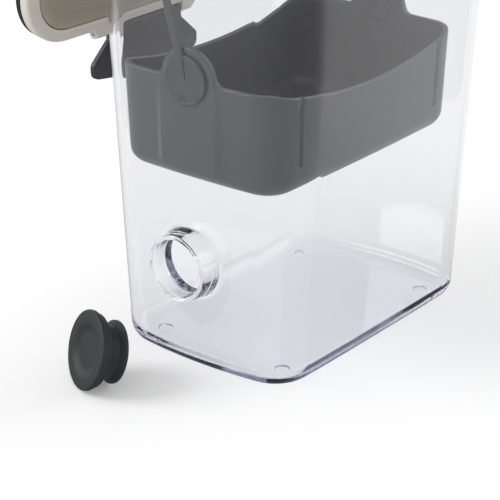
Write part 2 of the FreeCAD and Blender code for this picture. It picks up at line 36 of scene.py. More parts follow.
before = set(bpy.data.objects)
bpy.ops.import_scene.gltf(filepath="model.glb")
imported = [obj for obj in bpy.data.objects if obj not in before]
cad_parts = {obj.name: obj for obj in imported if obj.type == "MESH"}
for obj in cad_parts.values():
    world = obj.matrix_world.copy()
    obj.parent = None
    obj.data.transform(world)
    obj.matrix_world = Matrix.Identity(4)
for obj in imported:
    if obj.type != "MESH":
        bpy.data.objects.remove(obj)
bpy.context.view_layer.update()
MM = 0.001
SHORT, CORNER, LONG = 0, 1, 2

# Play of a pin in its bore, and bevels of the small cream parts, the lugs, the flap and the hook
PIN_PLAY = 0.06 * MM
SMALL_BEVEL, LUG_BEVEL, FLAP_BEVEL, HOOK_BEVEL = 0.3 * MM, 0.35 * MM, 0.45 * MM, 0.25 * MM
# Chamfers at the ends of the hinge pins, the latch pin and the latch's barrel
PIN_CHAMFER, LATCH_PIN_CHAMFER, BARREL_CHAMFER = 0.25 * MM, 0.2 * MM, 0.25 * MM

# Soft lamps: name, place, side and power; both face this point of the object
LAMPS = (("right", (1.3, -0.5, 1.0), 1.2, 6.0), ("left", (-0.9, 1.0, 0.9), 0.8, 12.0))
LAMP_AIM = (0.0, 0.0, 0.08)
# The floor's painted reflection, as (place across, colour), and the X that they run to: a darker band, and a pale end
# that stands in for a white card that is not there
PAINTED_REFLECTION_STOPS = (
    (0.0, (0.55, 0.56, 0.60, 1)), (0.35, (0.26, 0.26, 0.26 * 1.1, 1)),
    (0.54, (0.34, 0.34, 0.34 * 1.1, 1)), (0.64, (0.98, 0.98, 1.0, 1)))
PAINTED_REFLECTION_REACH = 0.6
# The seen sky from the horizon to the zenith, as (height, colour)
SKY_STOPS = ((0.05, (1, 1, 1, 1)), (0.75, (0.42, 0.44, 0.52, 1)))


def size(name, description, millimetres):
    """A length property, given in millimetres and kept in metres."""
    return bpy.props.FloatProperty(
        name=name, description=description, default=millimetres * MM, unit="LENGTH", precision=5)


def ratio(name, description, value):
    """A plain number property."""
    return bpy.props.FloatProperty(name=name, description=description, default=value, precision=4)


def turn(name, description, degrees):
    """An angle property, given in degrees."""
    return bpy.props.FloatProperty(
        name=name, description=description, default=math.radians(degrees), subtype="ANGLE")


def tone(name, description, colour):
    """A colour property."""
    return bpy.props.FloatVectorProperty(
        name=name, description=description, default=colour, size=3, min=0.0, max=1.0, subtype="COLOR")


class TubSizes(bpy.types.PropertyGroup):
    """Sizes of the clear tub and its spout."""

    half_length: size("Half length", "Middle to the short side, at the underside", 60.0)
    half_width: size("Half width", "Middle to the long side, at the underside", 39.6)
    length_draft: ratio("Length draft", "Growth of the half length with height", 0.020)
    width_draft: ratio("Width draft", "Growth of the half width with height", 0.053)
    corner: size("Corner radius", "At the underside", 15.7)
    corner_draft: ratio("Corner draft", "Growth of the corner radius with height", 0.023)
    short_bow: size("Short side bow", "How far the short sides bulge, at the underside", 4.3)
    short_bow_loss: ratio("Bow loss", "How the short sides flatten with height", 0.0135)
    long_bow: size("Long side bow", "How far the long sides bulge", 0.75)
    height: size("Height", "Underside to the rim", 205.0)
    wall: size("Wall", "Wall thickness", 2.0)
    floor: size("Floor", "Floor thickness", 3.4)
    outer_round: size("Outer round", "Radius of the bottom edge", 6.5)
    inner_round: size("Inner round", "Radius round the floor inside", 4.5)
    rim_round: size("Rim round", "Radius of the rim's edges", 0.4)
    mark_radius: size("Mark radius", "Round marks in the underside", 2.8)
    mark_depth: size("Mark depth", "Depth of the round marks", 0.6)
    mark_x: size("Mark place X", "Middle to a mark along X", 43.0)
    mark_y: size("Mark place Y", "Middle to a mark along Y", 27.0)
    spout_z: size("Spout height", "Underside to the spout's axis", 42.2)
    spout_reach: size("Spout reach", "Wall to the mouth", 8.2)
    spout_mouth: size("Mouth radius", "Outside of the spout at its mouth", 12.2)
    spout_root: size("Root radius", "Outside of the spout at the wall", 13.0)
    spout_bore: size("Bore radius", "Inside of the spout", 10.7)
    spout_flare: size("Root flare", "Fillet between the spout and the wall", 1.2)
    mouth_round: size("Mouth round", "Radius of the mouth's outer edge", 0.5)
    bore_round: size("Bore round", "Radius of the bore's two edges", 0.35)
    field: size("Spout field", "Half size of the wall's stretch that runs into the spout", 18.2)


class RimSizes(bpy.types.PropertyGroup):
    """Sizes of the collar on the rim and of the hinge."""

    top: size("Top", "Underside of the tub to the collar's top", 208.0)
    depth: size("Depth", "Height of the collar", 9.0)
    outset: size("Outset", "Beyond the tub's outside", 2.4)
    lip: size("Lip", "Inside the tub's wall", 1.2)
    edge_round: size("Edge round", "Radius of the top edges", 0.8)
    gap: size("Groove gap", "Play of the tub's rim in the collar's groove", 0.15)
    nose_half: size("Nose half width", "Catch nose for the latch", 15.0)
    nose_z: size("Nose height", "Underside of the catch nose", 200.5)
    nose_tall: size("Nose thickness", "Height of the catch nose", 2.5)
    nose_reach: size("Nose reach", "Catch nose beyond the collar", 1.3)
    hinge_gap: size("Hinge gap", "Lid's back edge to the hinge axis", 3.5)
    hinge_drop: size("Hinge drop", "Lid's top to the hinge axis", 3.0)
    hinge_x: size("Hinge place", "Middle to a hinge station", 26.0)
    knuckle: size("Knuckle radius", "Outside of the hinge barrels", 3.0)
    pin: size("Pin radius", "Hinge pins", 1.2)
    collar_knuckle: size("Collar knuckle width", "Width of the collar's barrels", 8.0)
    lid_knuckle: size("Lid knuckle width", "Width of the lid's barrels", 5.0)
    bracket_depth: size("Bracket depth", "Bracket into the collar's top", 2.4)
    bracket_thick: size("Bracket thickness", "Height of the bracket's arm", 4.0)
    running: size("Running gap", "Between pieces that pass each other", 0.4)


class LidSizes(bpy.types.PropertyGroup):
    """Sizes of the lid, its panel, its seal and its latch."""

    seal_gap: size("Seal gap", "Rim to the seal when shut", 0.1)
    seal: size("Seal thickness", "Height of the seal", 2.6)
    thick: size("Thickness", "Height of the lid's edge", 4.3)
    border_side: size("Side border", "Width of the border at the short sides", 6.2)
    border_front: size("Front border", "Width of the border at the long sides", 4.4)
    recess: size("Recess", "Depth of the recess", 3.0)
    edge_round: size("Edge round", "Radius of the outer edge", 1.3)
    rib_inset: size("Rib inset", "Collar's lip to the rib", 0.8)
    rib_thick: size("Rib thickness", "Wall of the rib", 1.6)
    rib_depth: size("Rib depth", "Height of the rib", 5.2)
    panel: size("Panel thickness", "Inset panel", 1.0)
    panel_rise: size("Panel rise", "How far the panel's edge turns up", 1.3)
    panel_turn: size("Panel turn", "Width of the panel's turned up edge", 5.0)
    open_angle: turn("Open angle", "From shut to hanging behind the tub", 260.0)
    pin_reach: size("Latch pin reach", "Lid's front edge to the latch pin", 1.7)
    lug: size("Lug radius", "Barrels at the latch pin", 2.15)
    lug_inner: size("Lug inner end", "Middle to the lug's inner end", 20.6)
    lug_outer: size("Lug outer end", "Middle to the lug's outer end at the lid", 29.6)
    lug_tip: size("Lug tip", "Middle to the lug's outer end at the pin", 26.8)
    notch: size("Latch notch", "Depth of the notch between the lugs", 1.3)
    latch_pin: size("Latch pin radius", "Pin of the latch", 0.9)
    latch_length: size("Latch length", "Pin to the flap's end", 19.7)
    latch_root: size("Latch root", "Half width at the pin", 20.2)
    latch_end: size("Latch end", "Half width at the end", 29.4)
    flare_start: size("Flare start", "Pin to where the flap widens", 3.4)
    flare_end: size("Flare end", "Pin to where the flap is widest", 11.5)
    latch_corner: size("Latch corner", "Radius of the flap's corners", 5.0)
    latch_sag: size("Latch sag", "Bulge of the flap's end", 2.6)
    latch_thick: size("Latch thickness", "Thickness of the flap", 2.1)
    hook_tall: size("Hook height", "Height of the latch's hook", 2.8)
    latch_angle: turn("Latch angle", "From hooked to hanging free", 100.0)


class BasketSizes(bpy.types.PropertyGroup):
    """Sizes of the basket and its carrying handle."""

    bottom: size("Bottom", "Underside of the tub to the raised basket's underside", 70.0)
    height: size("Height", "Underside to the rim", 37.8)
    half_length: size("Half length", "Middle to the short side, at the rim", 55.6)
    half_width: size("Half width", "Middle to the long side, at the rim", 37.0)
    offset_x: size("Offset X", "How far it hangs off the middle along X", -1.8)
    offset_y: size("Offset Y", "How far it hangs off the middle along Y", 2.4)
    draft: ratio("Draft", "Growth of both half sizes with height", 0.03)
    corner: size("Corner radius", "Corners in plan", 12.0)
    short_bow: size("Short side bow", "How far the short sides bulge", 1.5)
    long_bow: size("Long side bow", "How far the long sides bulge", 1.0)
    wall: size("Wall", "Wall thickness", 2.0)
    floor: size("Floor", "Floor thickness", 2.0)
    outer_round: size("Outer round", "Radius of the bottom edge", 6.5)
    inner_round: size("Inner round", "Radius round the floor inside", 4.5)
    lip_round: size("Lip round", "Radius of the rim's edges", 0.6)
    dip: size("Rim dip", "How far the long sides dip", 6.8)
    dip_half: size("Dip half span", "Middle to the end of the dip", 52.0)
    pivot: size("Pivot height", "Underside to the handle's pivot", 38.0)
    ear: size("Ear radius", "Round the pivot", 11.5)
    ear_fillet: size("Ear fillet", "Radius where the ear meets the rim", 3.5)
    pad_half: size("Pad half width", "Flat pad on the short sides", 13.2)
    pad_proud: size("Pad proud", "Pad beyond the wall", 0.3)
    pad_run: size("Pad edge run", "Width of the slope at the pad's edges", 3.8)
    groove_x: size("Groove place", "Middle to the upright grooves", 40.0)
    groove_width: size("Groove width", "Width of the grooves", 1.6)
    groove_depth: size("Groove depth", "Depth of the grooves", 0.9)
    groove_stop: size("Groove stop", "Underside to the groove's lower end", 10.5)
    edge_run: size("Edge run", "Width of the slope at the grooves", 0.25)
    slot_length: size("Slot length", "Drain slots", 15.0)
    slot_width: size("Slot width", "Drain slots", 3.2)
    pitch_x: size("Slot pitch X", "Between slots along X", 24.0)
    pitch_y: size("Slot pitch Y", "Between slots along Y", 9.0)
    hub: size("Hub radius", "Round end of the handle", 8.7)
    hub_gap: size("Hub gap", "Pad to the hub", 0.15)
    hub_round: size("Hub round", "Radius of the bead round the hub", 0.35)
    hub_sink: size("Hub sink", "Bead's top to the hub's face", 0.28)
    strap_thick: size("Strap thickness", "Handle strap", 1.1)
    strap_width: size("Strap width", "Handle strap", 3.3)
    rise: size("Handle rise", "Pivot to the underside of the handle's top", 86.0)
    bend: size("Handle bend", "Radius of the handle's bends, outside", 26.0)
    lean: turn("Handle lean", "Towards the back", 16.6)
    grip_half: size("Grip half length", "Middle to the end of the grip", 24.0)
    grip_width: size("Grip width", "Grip across", 11.0)
    grip_thick: size("Grip thickness", "Height of the grip", 4.0)
    stud: size("Stud radius", "Pivot stud", 3.0)
    stud_head: size("Stud head radius", "Head inside the ear", 5.5)
    stud_head_thick: size("Stud head thickness", "Head inside the ear", 1.2)
    stud_gap: size("Stud gap", "Ear to the stud's head", 0.3)


class PlugSizes(bpy.types.PropertyGroup):
    """Sizes and place of the loose drain plug."""

    flange: size("Flange radius", "Outside of the flange", 14.3)
    flange_thick: size("Flange thickness", "Thickness of the flange", 2.2)
    step: size("Step radius", "Step behind the flange", 13.2)
    step_thick: size("Step thickness", "Thickness of the step", 1.9)
    neck: size("Neck radius", "Behind the step", 9.7)
    groove: size("Groove radius", "Groove between the step and the neck", 7.6)
    groove_width: size("Groove width", "Groove between the step and the neck", 1.2)
    neck_land: size("Neck land", "Straight part of the neck", 3.7)
    lip: size("Lip radius", "Outside of the inner lip", 11.3)
    lip_thick: size("Lip thickness", "Rim of the inner lip", 1.4)
    length: size("Length", "Face to the inner end", 11.6)
    bore: size("Hollow radius", "Hollow in the inner end", 7.1)
    web: size("Web", "Left between the hollow and the step", 1.9)
    dish: size("Dish radius", "Shallow dish in the face", 10.6)
    dish_depth: size("Dish depth", "Depth of the dish", 1.3)
    dish_flat: ratio("Dish flat", "Share of the dish's radius that is flat", 0.62)
    edge_round: size("Edge round", "Radius of the flange's edges", 0.8)
    x: size("Place X", "Where the plug lies", -93.8)
    y: size("Place Y", "Where the plug lies", 21.0)
    heading: turn("Heading", "Turn of its axis about Z", -25.0)


class KeeperColours(bpy.types.PropertyGroup):
    """Colours of the finishes."""

    clear: tone("Clear plastic", "Tint of the tub", (0.990, 0.991, 1.0))
    depth: tone("Clear plastic in depth", "Tint that builds up along the walls", (0.50, 0.56, 0.92))
    cream: tone("Cream plastic", "Collar and lid", (0.79, 0.735, 0.665))
    cream_low: tone("Cream plastic, low", "Darker patches of the same", (0.75, 0.695, 0.625))
    taupe: tone("Taupe panel", "Inset panel of the lid", (0.420, 0.372, 0.295))
    taupe_low: tone("Taupe panel, low", "Darker patches of the same", (0.382, 0.336, 0.262))
    soft: tone("Soft rubber", "Plug and seal", (0.033, 0.035, 0.039))
    soft_low: tone("Soft rubber, low", "Darker patches of the same", (0.024, 0.026, 0.030))
    dark: tone("Dark plastic", "Latch", (0.050, 0.050, 0.056))
    dark_low: tone("Dark plastic, low", "Darker patches of the same", (0.041, 0.041, 0.046))
    grey: tone("Grey plastic", "Basket", (0.062, 0.064, 0.066))
    grey_low: tone("Grey plastic, low", "Darker patches of the same", (0.055, 0.057, 0.059))
    strap: tone("Strap plastic", "Handle and studs", (0.043, 0.045, 0.050))
    strap_low: tone("Strap plastic, low", "Darker patches of the same", (0.037, 0.039, 0.044))
    steel: tone("Steel", "Pins", (0.62, 0.62, 0.61))
    steel_low: tone("Steel, low", "Darker patches of the same", (0.50, 0.50, 0.50))


class StageSettings(bpy.types.PropertyGroup):
    """Camera, floor and light."""

    focal: ratio("Focal length", "Camera lens in millimetres", 135.58)
    eye: bpy.props.FloatVectorProperty(
        name="Eye", description="Camera place", default=(-0.51758, -0.39082, 0.31230), unit="LENGTH")
    aim: bpy.props.FloatVectorProperty(
        name="Aim", description="Point that the camera looks at", default=(0.034746, 0.049655, 0.0),
        unit="LENGTH")
    floor_half: size("Floor half size", "Half the side of the floor", 4000.0)
    floor: tone("Floor", "Colour of the floor", (0.93, 0.93, 0.935))
    glow: ratio("Floor glow", "Lift of the floor near the object as the camera sees it", 0.20)
    far_glow: ratio("Far floor glow", "Lift of the floor far from the object", 0.60)
    near: size("Near floor", "Middle to where the lift starts to grow", 300.0)
    far: size("Far floor", "Middle to where the lift is full", 1100.0)
    glass_glow: ratio("Glass glow", "Lift of the floor in mirrors and glass", 0.08)
    sky: ratio("Sky", "Even light from all round", 0.58)
    bounces: bpy.props.IntProperty(
        name="Bounces", description="Turns that a ray may take inside the clear walls", default=32)


# Shapes and meshes

def circle_points(centre, radius, start, end, count):
    """Points centre + radius * (cos t, sin t), with t in even steps from start to end degrees."""
    t = np.radians(np.linspace(start, end, count))
    return np.column_stack([centre[0] + radius * np.cos(t), centre[1] + radius * np.sin(t)])


def loop_columns(short, corner, long):
    """Columns of a closed loop, mirrored from one quarter: short side, corner, long side.

    Each column is a kind, a fraction along that kind's arc, and the signs of its X and Y.
    """
    kind = np.concatenate([np.full(len(short), SHORT), np.full(len(corner), CORNER), np.full(len(long), LONG)])
    part = np.concatenate([short, corner, long[::-1]])
    runs = [
        (slice(None), 1, 1),
        (slice(-2, None, -1), -1, 1),
        (slice(1, None), -1, -1),
        (slice(-2, 0, -1), 1, -1),
    ]
    columns = {"kind": [], "part": [], "sx": [], "sy": []}
    for cut, sx, sy in runs:
        columns["kind"].append(kind[cut])
        columns["part"].append(part[cut])
        columns["sx"].append(np.full(len(kind[cut]), sx))
        columns["sy"].append(np.full(len(kind[cut]), sy))
    return {key: np.concatenate(value) for key, value in columns.items()}


def bowed_quarter(columns, shape, inset):
    """Unsigned X and Y of an outline with four bulging sides and four round corners, moved in by inset.

    A side's circle has radius (h * h + bow * bow) / (2 * bow), where h is the other half size.
    The corner's circle lies inside both side circles, so its centre is first and second away
    from theirs. A point on a side or a corner is that circle's centre plus its radius less the
    inset, times (cos t, sin t).
    """
    a, b, corner, bow_x, bow_y = shape
    big_x = (b ** 2 + bow_x ** 2) / (2 * bow_x)
    big_y = (a ** 2 + bow_y ** 2) / (2 * bow_y)
    reach_x = a - big_x
    reach_y = b - big_y
    first = big_x - corner
    second = big_y - corner
    span = np.hypot(reach_x, reach_y)
    along = (first ** 2 - second ** 2 + span ** 2) / (2 * span)
    across = np.sqrt(first ** 2 - along ** 2)
    ux = -reach_x / span
    uy = reach_y / span
    cx = reach_x + ux * along - uy * across
    cy = uy * along + ux * across
    swap = (cx < 0) | (cy < 0)
    cx = np.where(swap, reach_x + ux * along + uy * across, cx)
    cy = np.where(swap, uy * along - ux * across, cy)
    to_side = np.arctan2(cy, cx - reach_x)
    to_long = np.arctan2(cy - reach_y, cx)
    kind = columns["kind"][None, :]
    part = columns["part"][None, :]
    t_short = np.arcsin(part * np.sin(to_side))
    t_corner = to_side + part * (to_long - to_side)
    t_long = np.arccos(np.clip(part * np.cos(to_long), -1, 1))
    x = np.select(
        [kind == SHORT, kind == CORNER],
        [reach_x + (big_x - inset) * np.cos(t_short), cx + (corner - inset) * np.cos(t_corner)],
        (big_y - inset) * np.cos(t_long))
    y = np.select(
        [kind == SHORT, kind == CORNER],
        [(big_x - inset) * np.sin(t_short), cy + (corner - inset) * np.sin(t_corner)],
        reach_y + (big_y - inset) * np.sin(t_long))
    return x, y


def tangent_places(shape):
    """Y where a short side meets its corner and X where a long side does."""
    ends = {"kind": np.array([SHORT, LONG]), "part": np.array([1.0, 1.0])}
    values = tuple(np.array([[float(v)]]) for v in shape)
    x, y = bowed_quarter(ends, values, 0.0)
    return y[0, 0], x[0, 1]


def signed(columns, x, y, z):
    """Points from unsigned X and Y and the columns' signs."""
    return np.stack([x * columns["sx"], y * columns["sy"], np.broadcast_to(z, x.shape)], axis=-1)


def carried(columns, shape_of, profile):
    """A profile of (inset, z) carried round an outline that may change with z."""
    inset = profile[:, :1]
    z = profile[:, 1:]
    x, y = bowed_quarter(columns, shape_of(z), inset)
    return signed(columns, x, y, z)


def grid_faces(rows, columns, closed_rows=False, start=0):
    """Quads of a grid that is closed along its columns, and along its rows if closed_rows."""
    j = np.arange(rows if closed_rows else rows - 1)[:, None]
    i = np.arange(columns)[None, :]
    up = (j + 1) % rows
    over = (i + 1) % columns
    quads = [j * columns + i, j * columns + over, up * columns + over, up * columns + i]
    return (np.stack([np.broadcast_to(q, (len(j), columns)) for q in quads], axis=-1) + start).reshape(-1, 4)


def ends_of(rows, columns):
    """The first and the last row of a grid as two flat faces."""
    return [list(range(columns)), list(range((rows - 1) * columns, rows * columns))]


def capped(points):
    """(points, faces) of a grid of rows with its first and last row closed by flat faces."""
    rows, columns = points.shape[:2]
    return points.reshape(-1, 3), grid_faces(rows, columns).tolist() + ends_of(rows, columns)


def ring(points):
    """(points, faces) of a grid that is closed both ways."""
    rows, columns = points.shape[:2]
    return points.reshape(-1, 3), grid_faces(rows, columns, closed_rows=True).tolist()


def joined(*parts):
    """Several (points, faces) as one."""
    points, faces, start = [], [], 0
    for part_points, part_faces in parts:
        points.append(part_points)
        faces += [[index + start for index in face] for face in part_faces]
        start += len(part_points)
    return np.vstack(points), faces


def spun(profile, count):
    """A profile of (radius, height) spun about Z: points radius * (cos t, sin t) at each height."""
    t = np.linspace(0, 2 * math.pi, count, endpoint=False)
    x = profile[:, :1] * np.cos(t)
    y = profile[:, :1] * np.sin(t)
    return np.stack([x, y, np.broadcast_to(profile[:, 1:], x.shape)], axis=-1)


def revolved(profile, count=72):
    """(points, faces) of a spun profile whose ends are closed."""
    return capped(spun(profile, count))


def superellipse(count, power):
    """Points round |a|^(2 / power) + |b|^(2 / power) = 1."""
    t = np.linspace(0, 2 * math.pi, count, endpoint=False)
    return tuple(np.sign(wave) * np.abs(wave) ** power for wave in (np.cos(t), np.sin(t)))


def prism(outline, x0, x1):
    """An outline of (y, z) carried straight along X."""
    rows = [np.column_stack([np.full(len(outline), x), outline]) for x in (x0, x1)]
    return capped(np.array(rows))


def slab(outline, y0, y1):
    """An outline of (x, z) carried straight along Y."""
    rows = [np.column_stack([outline[:, 0], np.full(len(outline), y), outline[:, 1]]) for y in (y0, y1)]
    return capped(np.array(rows))


def rounded(corners, radii, steps=7):
    """A polygon with each corner replaced by a curve of its radius.

    The curve is (1 - t)^2 * start + 2 * t * (1 - t) * corner + t^2 * end.
    """
    corners = np.array(corners, float)
    before = np.roll(corners, 1, axis=0) - corners
    after = np.roll(corners, -1, axis=0) - corners
    t = np.linspace(0, 1, steps)[:, None]
    points = []
    for corner, back, on, radius in zip(corners, before, after, radii):
        back_length = np.linalg.norm(back)
        on_length = np.linalg.norm(on)
        angle = math.acos(np.dot(back, on) / back_length / on_length)
        reach = min(radius / math.tan(angle / 2), back_length * 0.49, on_length * 0.49)
        start = corner + back / back_length * reach
        end = corner + on / on_length * reach
        points.append((1 - t) ** 2 * start + 2 * t * (1 - t) * corner + t ** 2 * end)
    return np.vstack(points)


def turned_x(points, y, z, angle):
    """Points turned about an X axis through (y, z), by the right-hand rule."""
    c, s = math.cos(angle), math.sin(angle)
    dy = points[..., 1] - y
    dz = points[..., 2] - z
    return np.stack([points[..., 0], y + dy * c - dz * s, z + dy * s + dz * c], axis=-1)


def along_x(points, x, y, z, sign=1):
    """A revolved shape laid with its axis on X, its height running the sign's way."""
    return np.stack([x + sign * points[:, 2], y + points[:, 0], z + points[:, 1]], axis=-1)


def closed_mesh(name, points, faces, sharp):
    """A mesh with doubles merged, faces outwards and smooth shading up to an angle in degrees."""
    mesh = bpy.data.meshes.new(name)
    mesh.from_pydata(np.asarray(points).tolist(), [], faces)
    bm = bmesh.new()
    bm.from_mesh(mesh)
    bmesh.ops.remove_doubles(bm, verts=bm.verts, dist=1e-6)
    bmesh.ops.dissolve_degenerate(bm, edges=bm.edges, dist=1e-7)
    bmesh.ops.recalc_face_normals(bm, faces=bm.faces)
    bm.to_mesh(mesh)
    bm.free()
    smooth(mesh, sharp)
    return mesh


def smooth(mesh, sharp):
    """Smooth shading, split at edges sharper than an angle in degrees."""
    mesh.polygons.foreach_set("use_smooth", np.ones(len(mesh.polygons), bool))
    mesh.set_sharp_from_angle(angle=math.radians(sharp))


def piece(name, part, material, body, replaced=(), sharp=35.0, cutter=None, bevel=0.0):
    """A new object from (points, faces), cut by a cutter's (points, faces), on its body."""
    mesh = closed_mesh(name, part[0], part[1], sharp)
    obj = bpy.data.objects.new(name, mesh)
    bpy.context.scene.collection.objects.link(obj)
    if cutter is not None:
        carve(obj, cutter, sharp)
    if bevel:
        soften = obj.modifiers.new("Soften", "BEVEL")
        soften.width = bevel
        soften.segments = 2
        soften.limit_method = "ANGLE"
        soften.angle_limit = math.radians(40)
        soften.harden_normals = True
    obj.data.materials.clear()
    obj.data.materials.append(material)
    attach(obj, body)
    if replaced:
        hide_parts(*replaced)
    return obj


def carve(obj, cutter, sharp):
    """Takes the cutter's solid out of the object's mesh."""
    tool = bpy.data.objects.new("cutter", closed_mesh("cutter", cutter[0], cutter[1], sharp))
    bpy.context.scene.collection.objects.link(tool)
    cut = obj.modifiers.new("Cut", "BOOLEAN")
    cut.operation = "DIFFERENCE"
    cut.solver = "EXACT"
    cut.object = tool
    graph = bpy.context.evaluated_depsgraph_get()
    mesh = bpy.data.meshes.new_from_object(obj.evaluated_get(graph))
    old = obj.data
    obj.modifiers.clear()
    obj.data = mesh
    mesh.name = old.name
    bpy.data.meshes.remove(old)
    bpy.data.objects.remove(tool)
    smooth(mesh, sharp)


# Finishes

def new_material(name):
    """A material with its node tree, Principled shader and output."""
    material = bpy.data.materials.new(name)
    material.use_nodes = True
    tree = material.node_tree
    return material, tree, tree.nodes["Principled BSDF"], tree.nodes["Material Output"]


def combined(tree, operation, first, second):
    """A math node's result; its second input is a socket or a number."""
    node = tree.nodes.new("ShaderNodeMath")
    node.operation = operation
    tree.links.new(first, node.inputs[0])
    if isinstance(second, float):
        node.inputs[1].default_value = second
    else:
        tree.links.new(second, node.inputs[1])
    return node.outputs[0]


def mixed(tree, factor, first, second):
    """The first shader where the factor is 0, and the second where it is 1."""
    choose = tree.nodes.new("ShaderNodeMixShader")
    for socket, source in zip(choose.inputs, (factor, first, second)):
        tree.links.new(source, socket)
    return choose.outputs["Shader"]


def ramped(tree, value, stops):
    """A value's colour from stops of (position, colour)."""
    ramp = tree.nodes.new("ShaderNodeValToRGB")
    tree.links.new(value, ramp.inputs["Fac"])
    elements = ramp.color_ramp.elements
    elements[0].position, elements[0].color = stops[0]
    elements[-1].position, elements[-1].color = stops[-1]
    for position, colour in stops[1:-1]:
        elements.new(position).color = colour
    return ramp.outputs["Color"]


def coordinate(tree, kind, axis):
    """One axis of a kind of texture coordinate."""
    place = tree.nodes.new("ShaderNodeTexCoord")
    split = tree.nodes.new("ShaderNodeSeparateXYZ")
    tree.links.new(place.outputs[kind], split.inputs["Vector"])
    return split.outputs[axis]


def noise(tree, scale, detail=3.0):
    """Noise on the object's own coordinates."""
    place = tree.nodes.new("ShaderNodeTexCoord")
    texture = tree.nodes.new("ShaderNodeTexNoise")
    texture.inputs["Scale"].default_value = scale
    texture.inputs["Detail"].default_value = detail
    tree.links.new(place.outputs["Object"], texture.inputs["Vector"])
    return texture.outputs["Fac"]


def spread(tree, value, low, high):
    """A value of about 0.3 to 0.7 brought to low to high."""
    stretch = tree.nodes.new("ShaderNodeMapRange")
    stretch.inputs["From Min"].default_value = 0.3
    stretch.inputs["From Max"].default_value = 0.7
    stretch.inputs["To Min"].default_value = low
    stretch.inputs["To Max"].default_value = high
    tree.links.new(value, stretch.inputs["Value"])
    return stretch.outputs["Result"]


def moulded(name, low, high, roughness, grain=900.0, depth=0.00002, specular=0.5, patch=28.0):
    """Moulded plastic or rubber: faint patches of colour and gloss, and a fine grain as bump."""
    material, tree, shader, _ = new_material(name)
    blend = tree.nodes.new("ShaderNodeMix")
    blend.data_type = "RGBA"
    blend.inputs[6].default_value = (*low, 1)
    blend.inputs[7].default_value = (*high, 1)
    patches = noise(tree, patch)
    tree.links.new(spread(tree, patches, 0.0, 1.0), blend.inputs[0])
    tree.links.new(blend.outputs[2], shader.inputs["Base Color"])
    tree.links.new(
        spread(tree, noise(tree, patch * 3), roughness - 0.04, roughness + 0.05), shader.inputs["Roughness"])
    bump = tree.nodes.new("ShaderNodeBump")
    bump.inputs["Distance"].default_value = depth
    tree.links.new(noise(tree, grain, 2.0), bump.inputs["Height"])
    tree.links.new(bump.outputs["Normal"], shader.inputs["Normal"])
    shader.inputs["Specular IOR Level"].default_value = specular
    return material


def clear_plastic(name, tint, depth_tint):
    """Clear moulded plastic. It lets lamp light and soft light straight through, and tints long paths."""
    material, tree, shader, output = new_material(name)
    shader.inputs["Base Color"].default_value = (*tint, 1)
    shader.inputs["Transmission Weight"].default_value = 1.0
    shader.inputs["IOR"].default_value = 1.5
    shader.inputs["Roughness"].default_value = 0.0
    wave = tree.nodes.new("ShaderNodeBump")
    wave.inputs["Distance"].default_value = 0.000003
    tree.links.new(noise(tree, 45.0, 1.0), wave.inputs["Height"])
    tree.links.new(wave.outputs["Normal"], shader.inputs["Normal"])
    open_way = tree.nodes.new("ShaderNodeBsdfTransparent")
    open_way.inputs["Color"].default_value = (0.980, 0.982, 0.988, 1)
    path = tree.nodes.new("ShaderNodeLightPath")
    surface = shader.outputs["BSDF"]
    for ray in ("Is Diffuse Ray", "Is Shadow Ray"):
        surface = mixed(tree, path.outputs[ray], surface, open_way.outputs["BSDF"])
    tree.links.new(surface, output.inputs["Surface"])
    absorb = tree.nodes.new("ShaderNodeVolumeAbsorption")
    absorb.inputs["Color"].default_value = (*depth_tint, 1)
    absorb.inputs["Density"].default_value = 5.0
    tree.links.new(absorb.outputs["Volume"], output.inputs["Volume"])
    return material


def steel(name, low, high):
    """Plain drawn steel with faint streaks."""
    material = moulded(name, low, high, 0.3, grain=1500.0, depth=0.00001)
    material.node_tree.nodes["Principled BSDF"].inputs["Metallic"].default_value = 1.0
    return material


def finish(context, name):
    """The material of a finish, made once."""
    title = name + "_finish"
    made = bpy.data.materials.get(title)
    if made:
        return made
    colours = context.scene.keeper_colours
    makers = {
        "clear_tub": lambda: clear_plastic(title, colours.clear, colours.depth),
        "cream_plastic": lambda: moulded(title, colours.cream_low, colours.cream, 0.34),
        "taupe_panel": lambda: moulded(title, colours.taupe_low, colours.taupe, 0.42),
        "dark_silicone": lambda: moulded(title, colours.soft_low, colours.soft, 0.55, 1400.0, 0.00003, 0.45),
        "dark_plastic": lambda: moulded(title, colours.dark_low, colours.dark, 0.38),
        "basket_plastic": lambda: moulded(title, colours.grey_low, colours.grey, 0.36, 2600.0, 0.000001),
        "handle_plastic": lambda: moulded(title, colours.strap_low, colours.strap, 0.30, 2600.0, 0.000003),
        "pin_steel": lambda: steel(title, colours.steel_low, colours.steel),
    }
    return makers[name]()


# Places shared by several pieces

def tub_shape(tub, z):
    """Half sizes, corner radius and bows of the tub at a height."""
    return (
        tub.half_length + tub.length_draft * z,
        tub.half_width + tub.width_draft * z,
        tub.corner + tub.corner_draft * z,
        tub.short_bow - tub.short_bow_loss * z,
        tub.long_bow + 0 * z,
    )


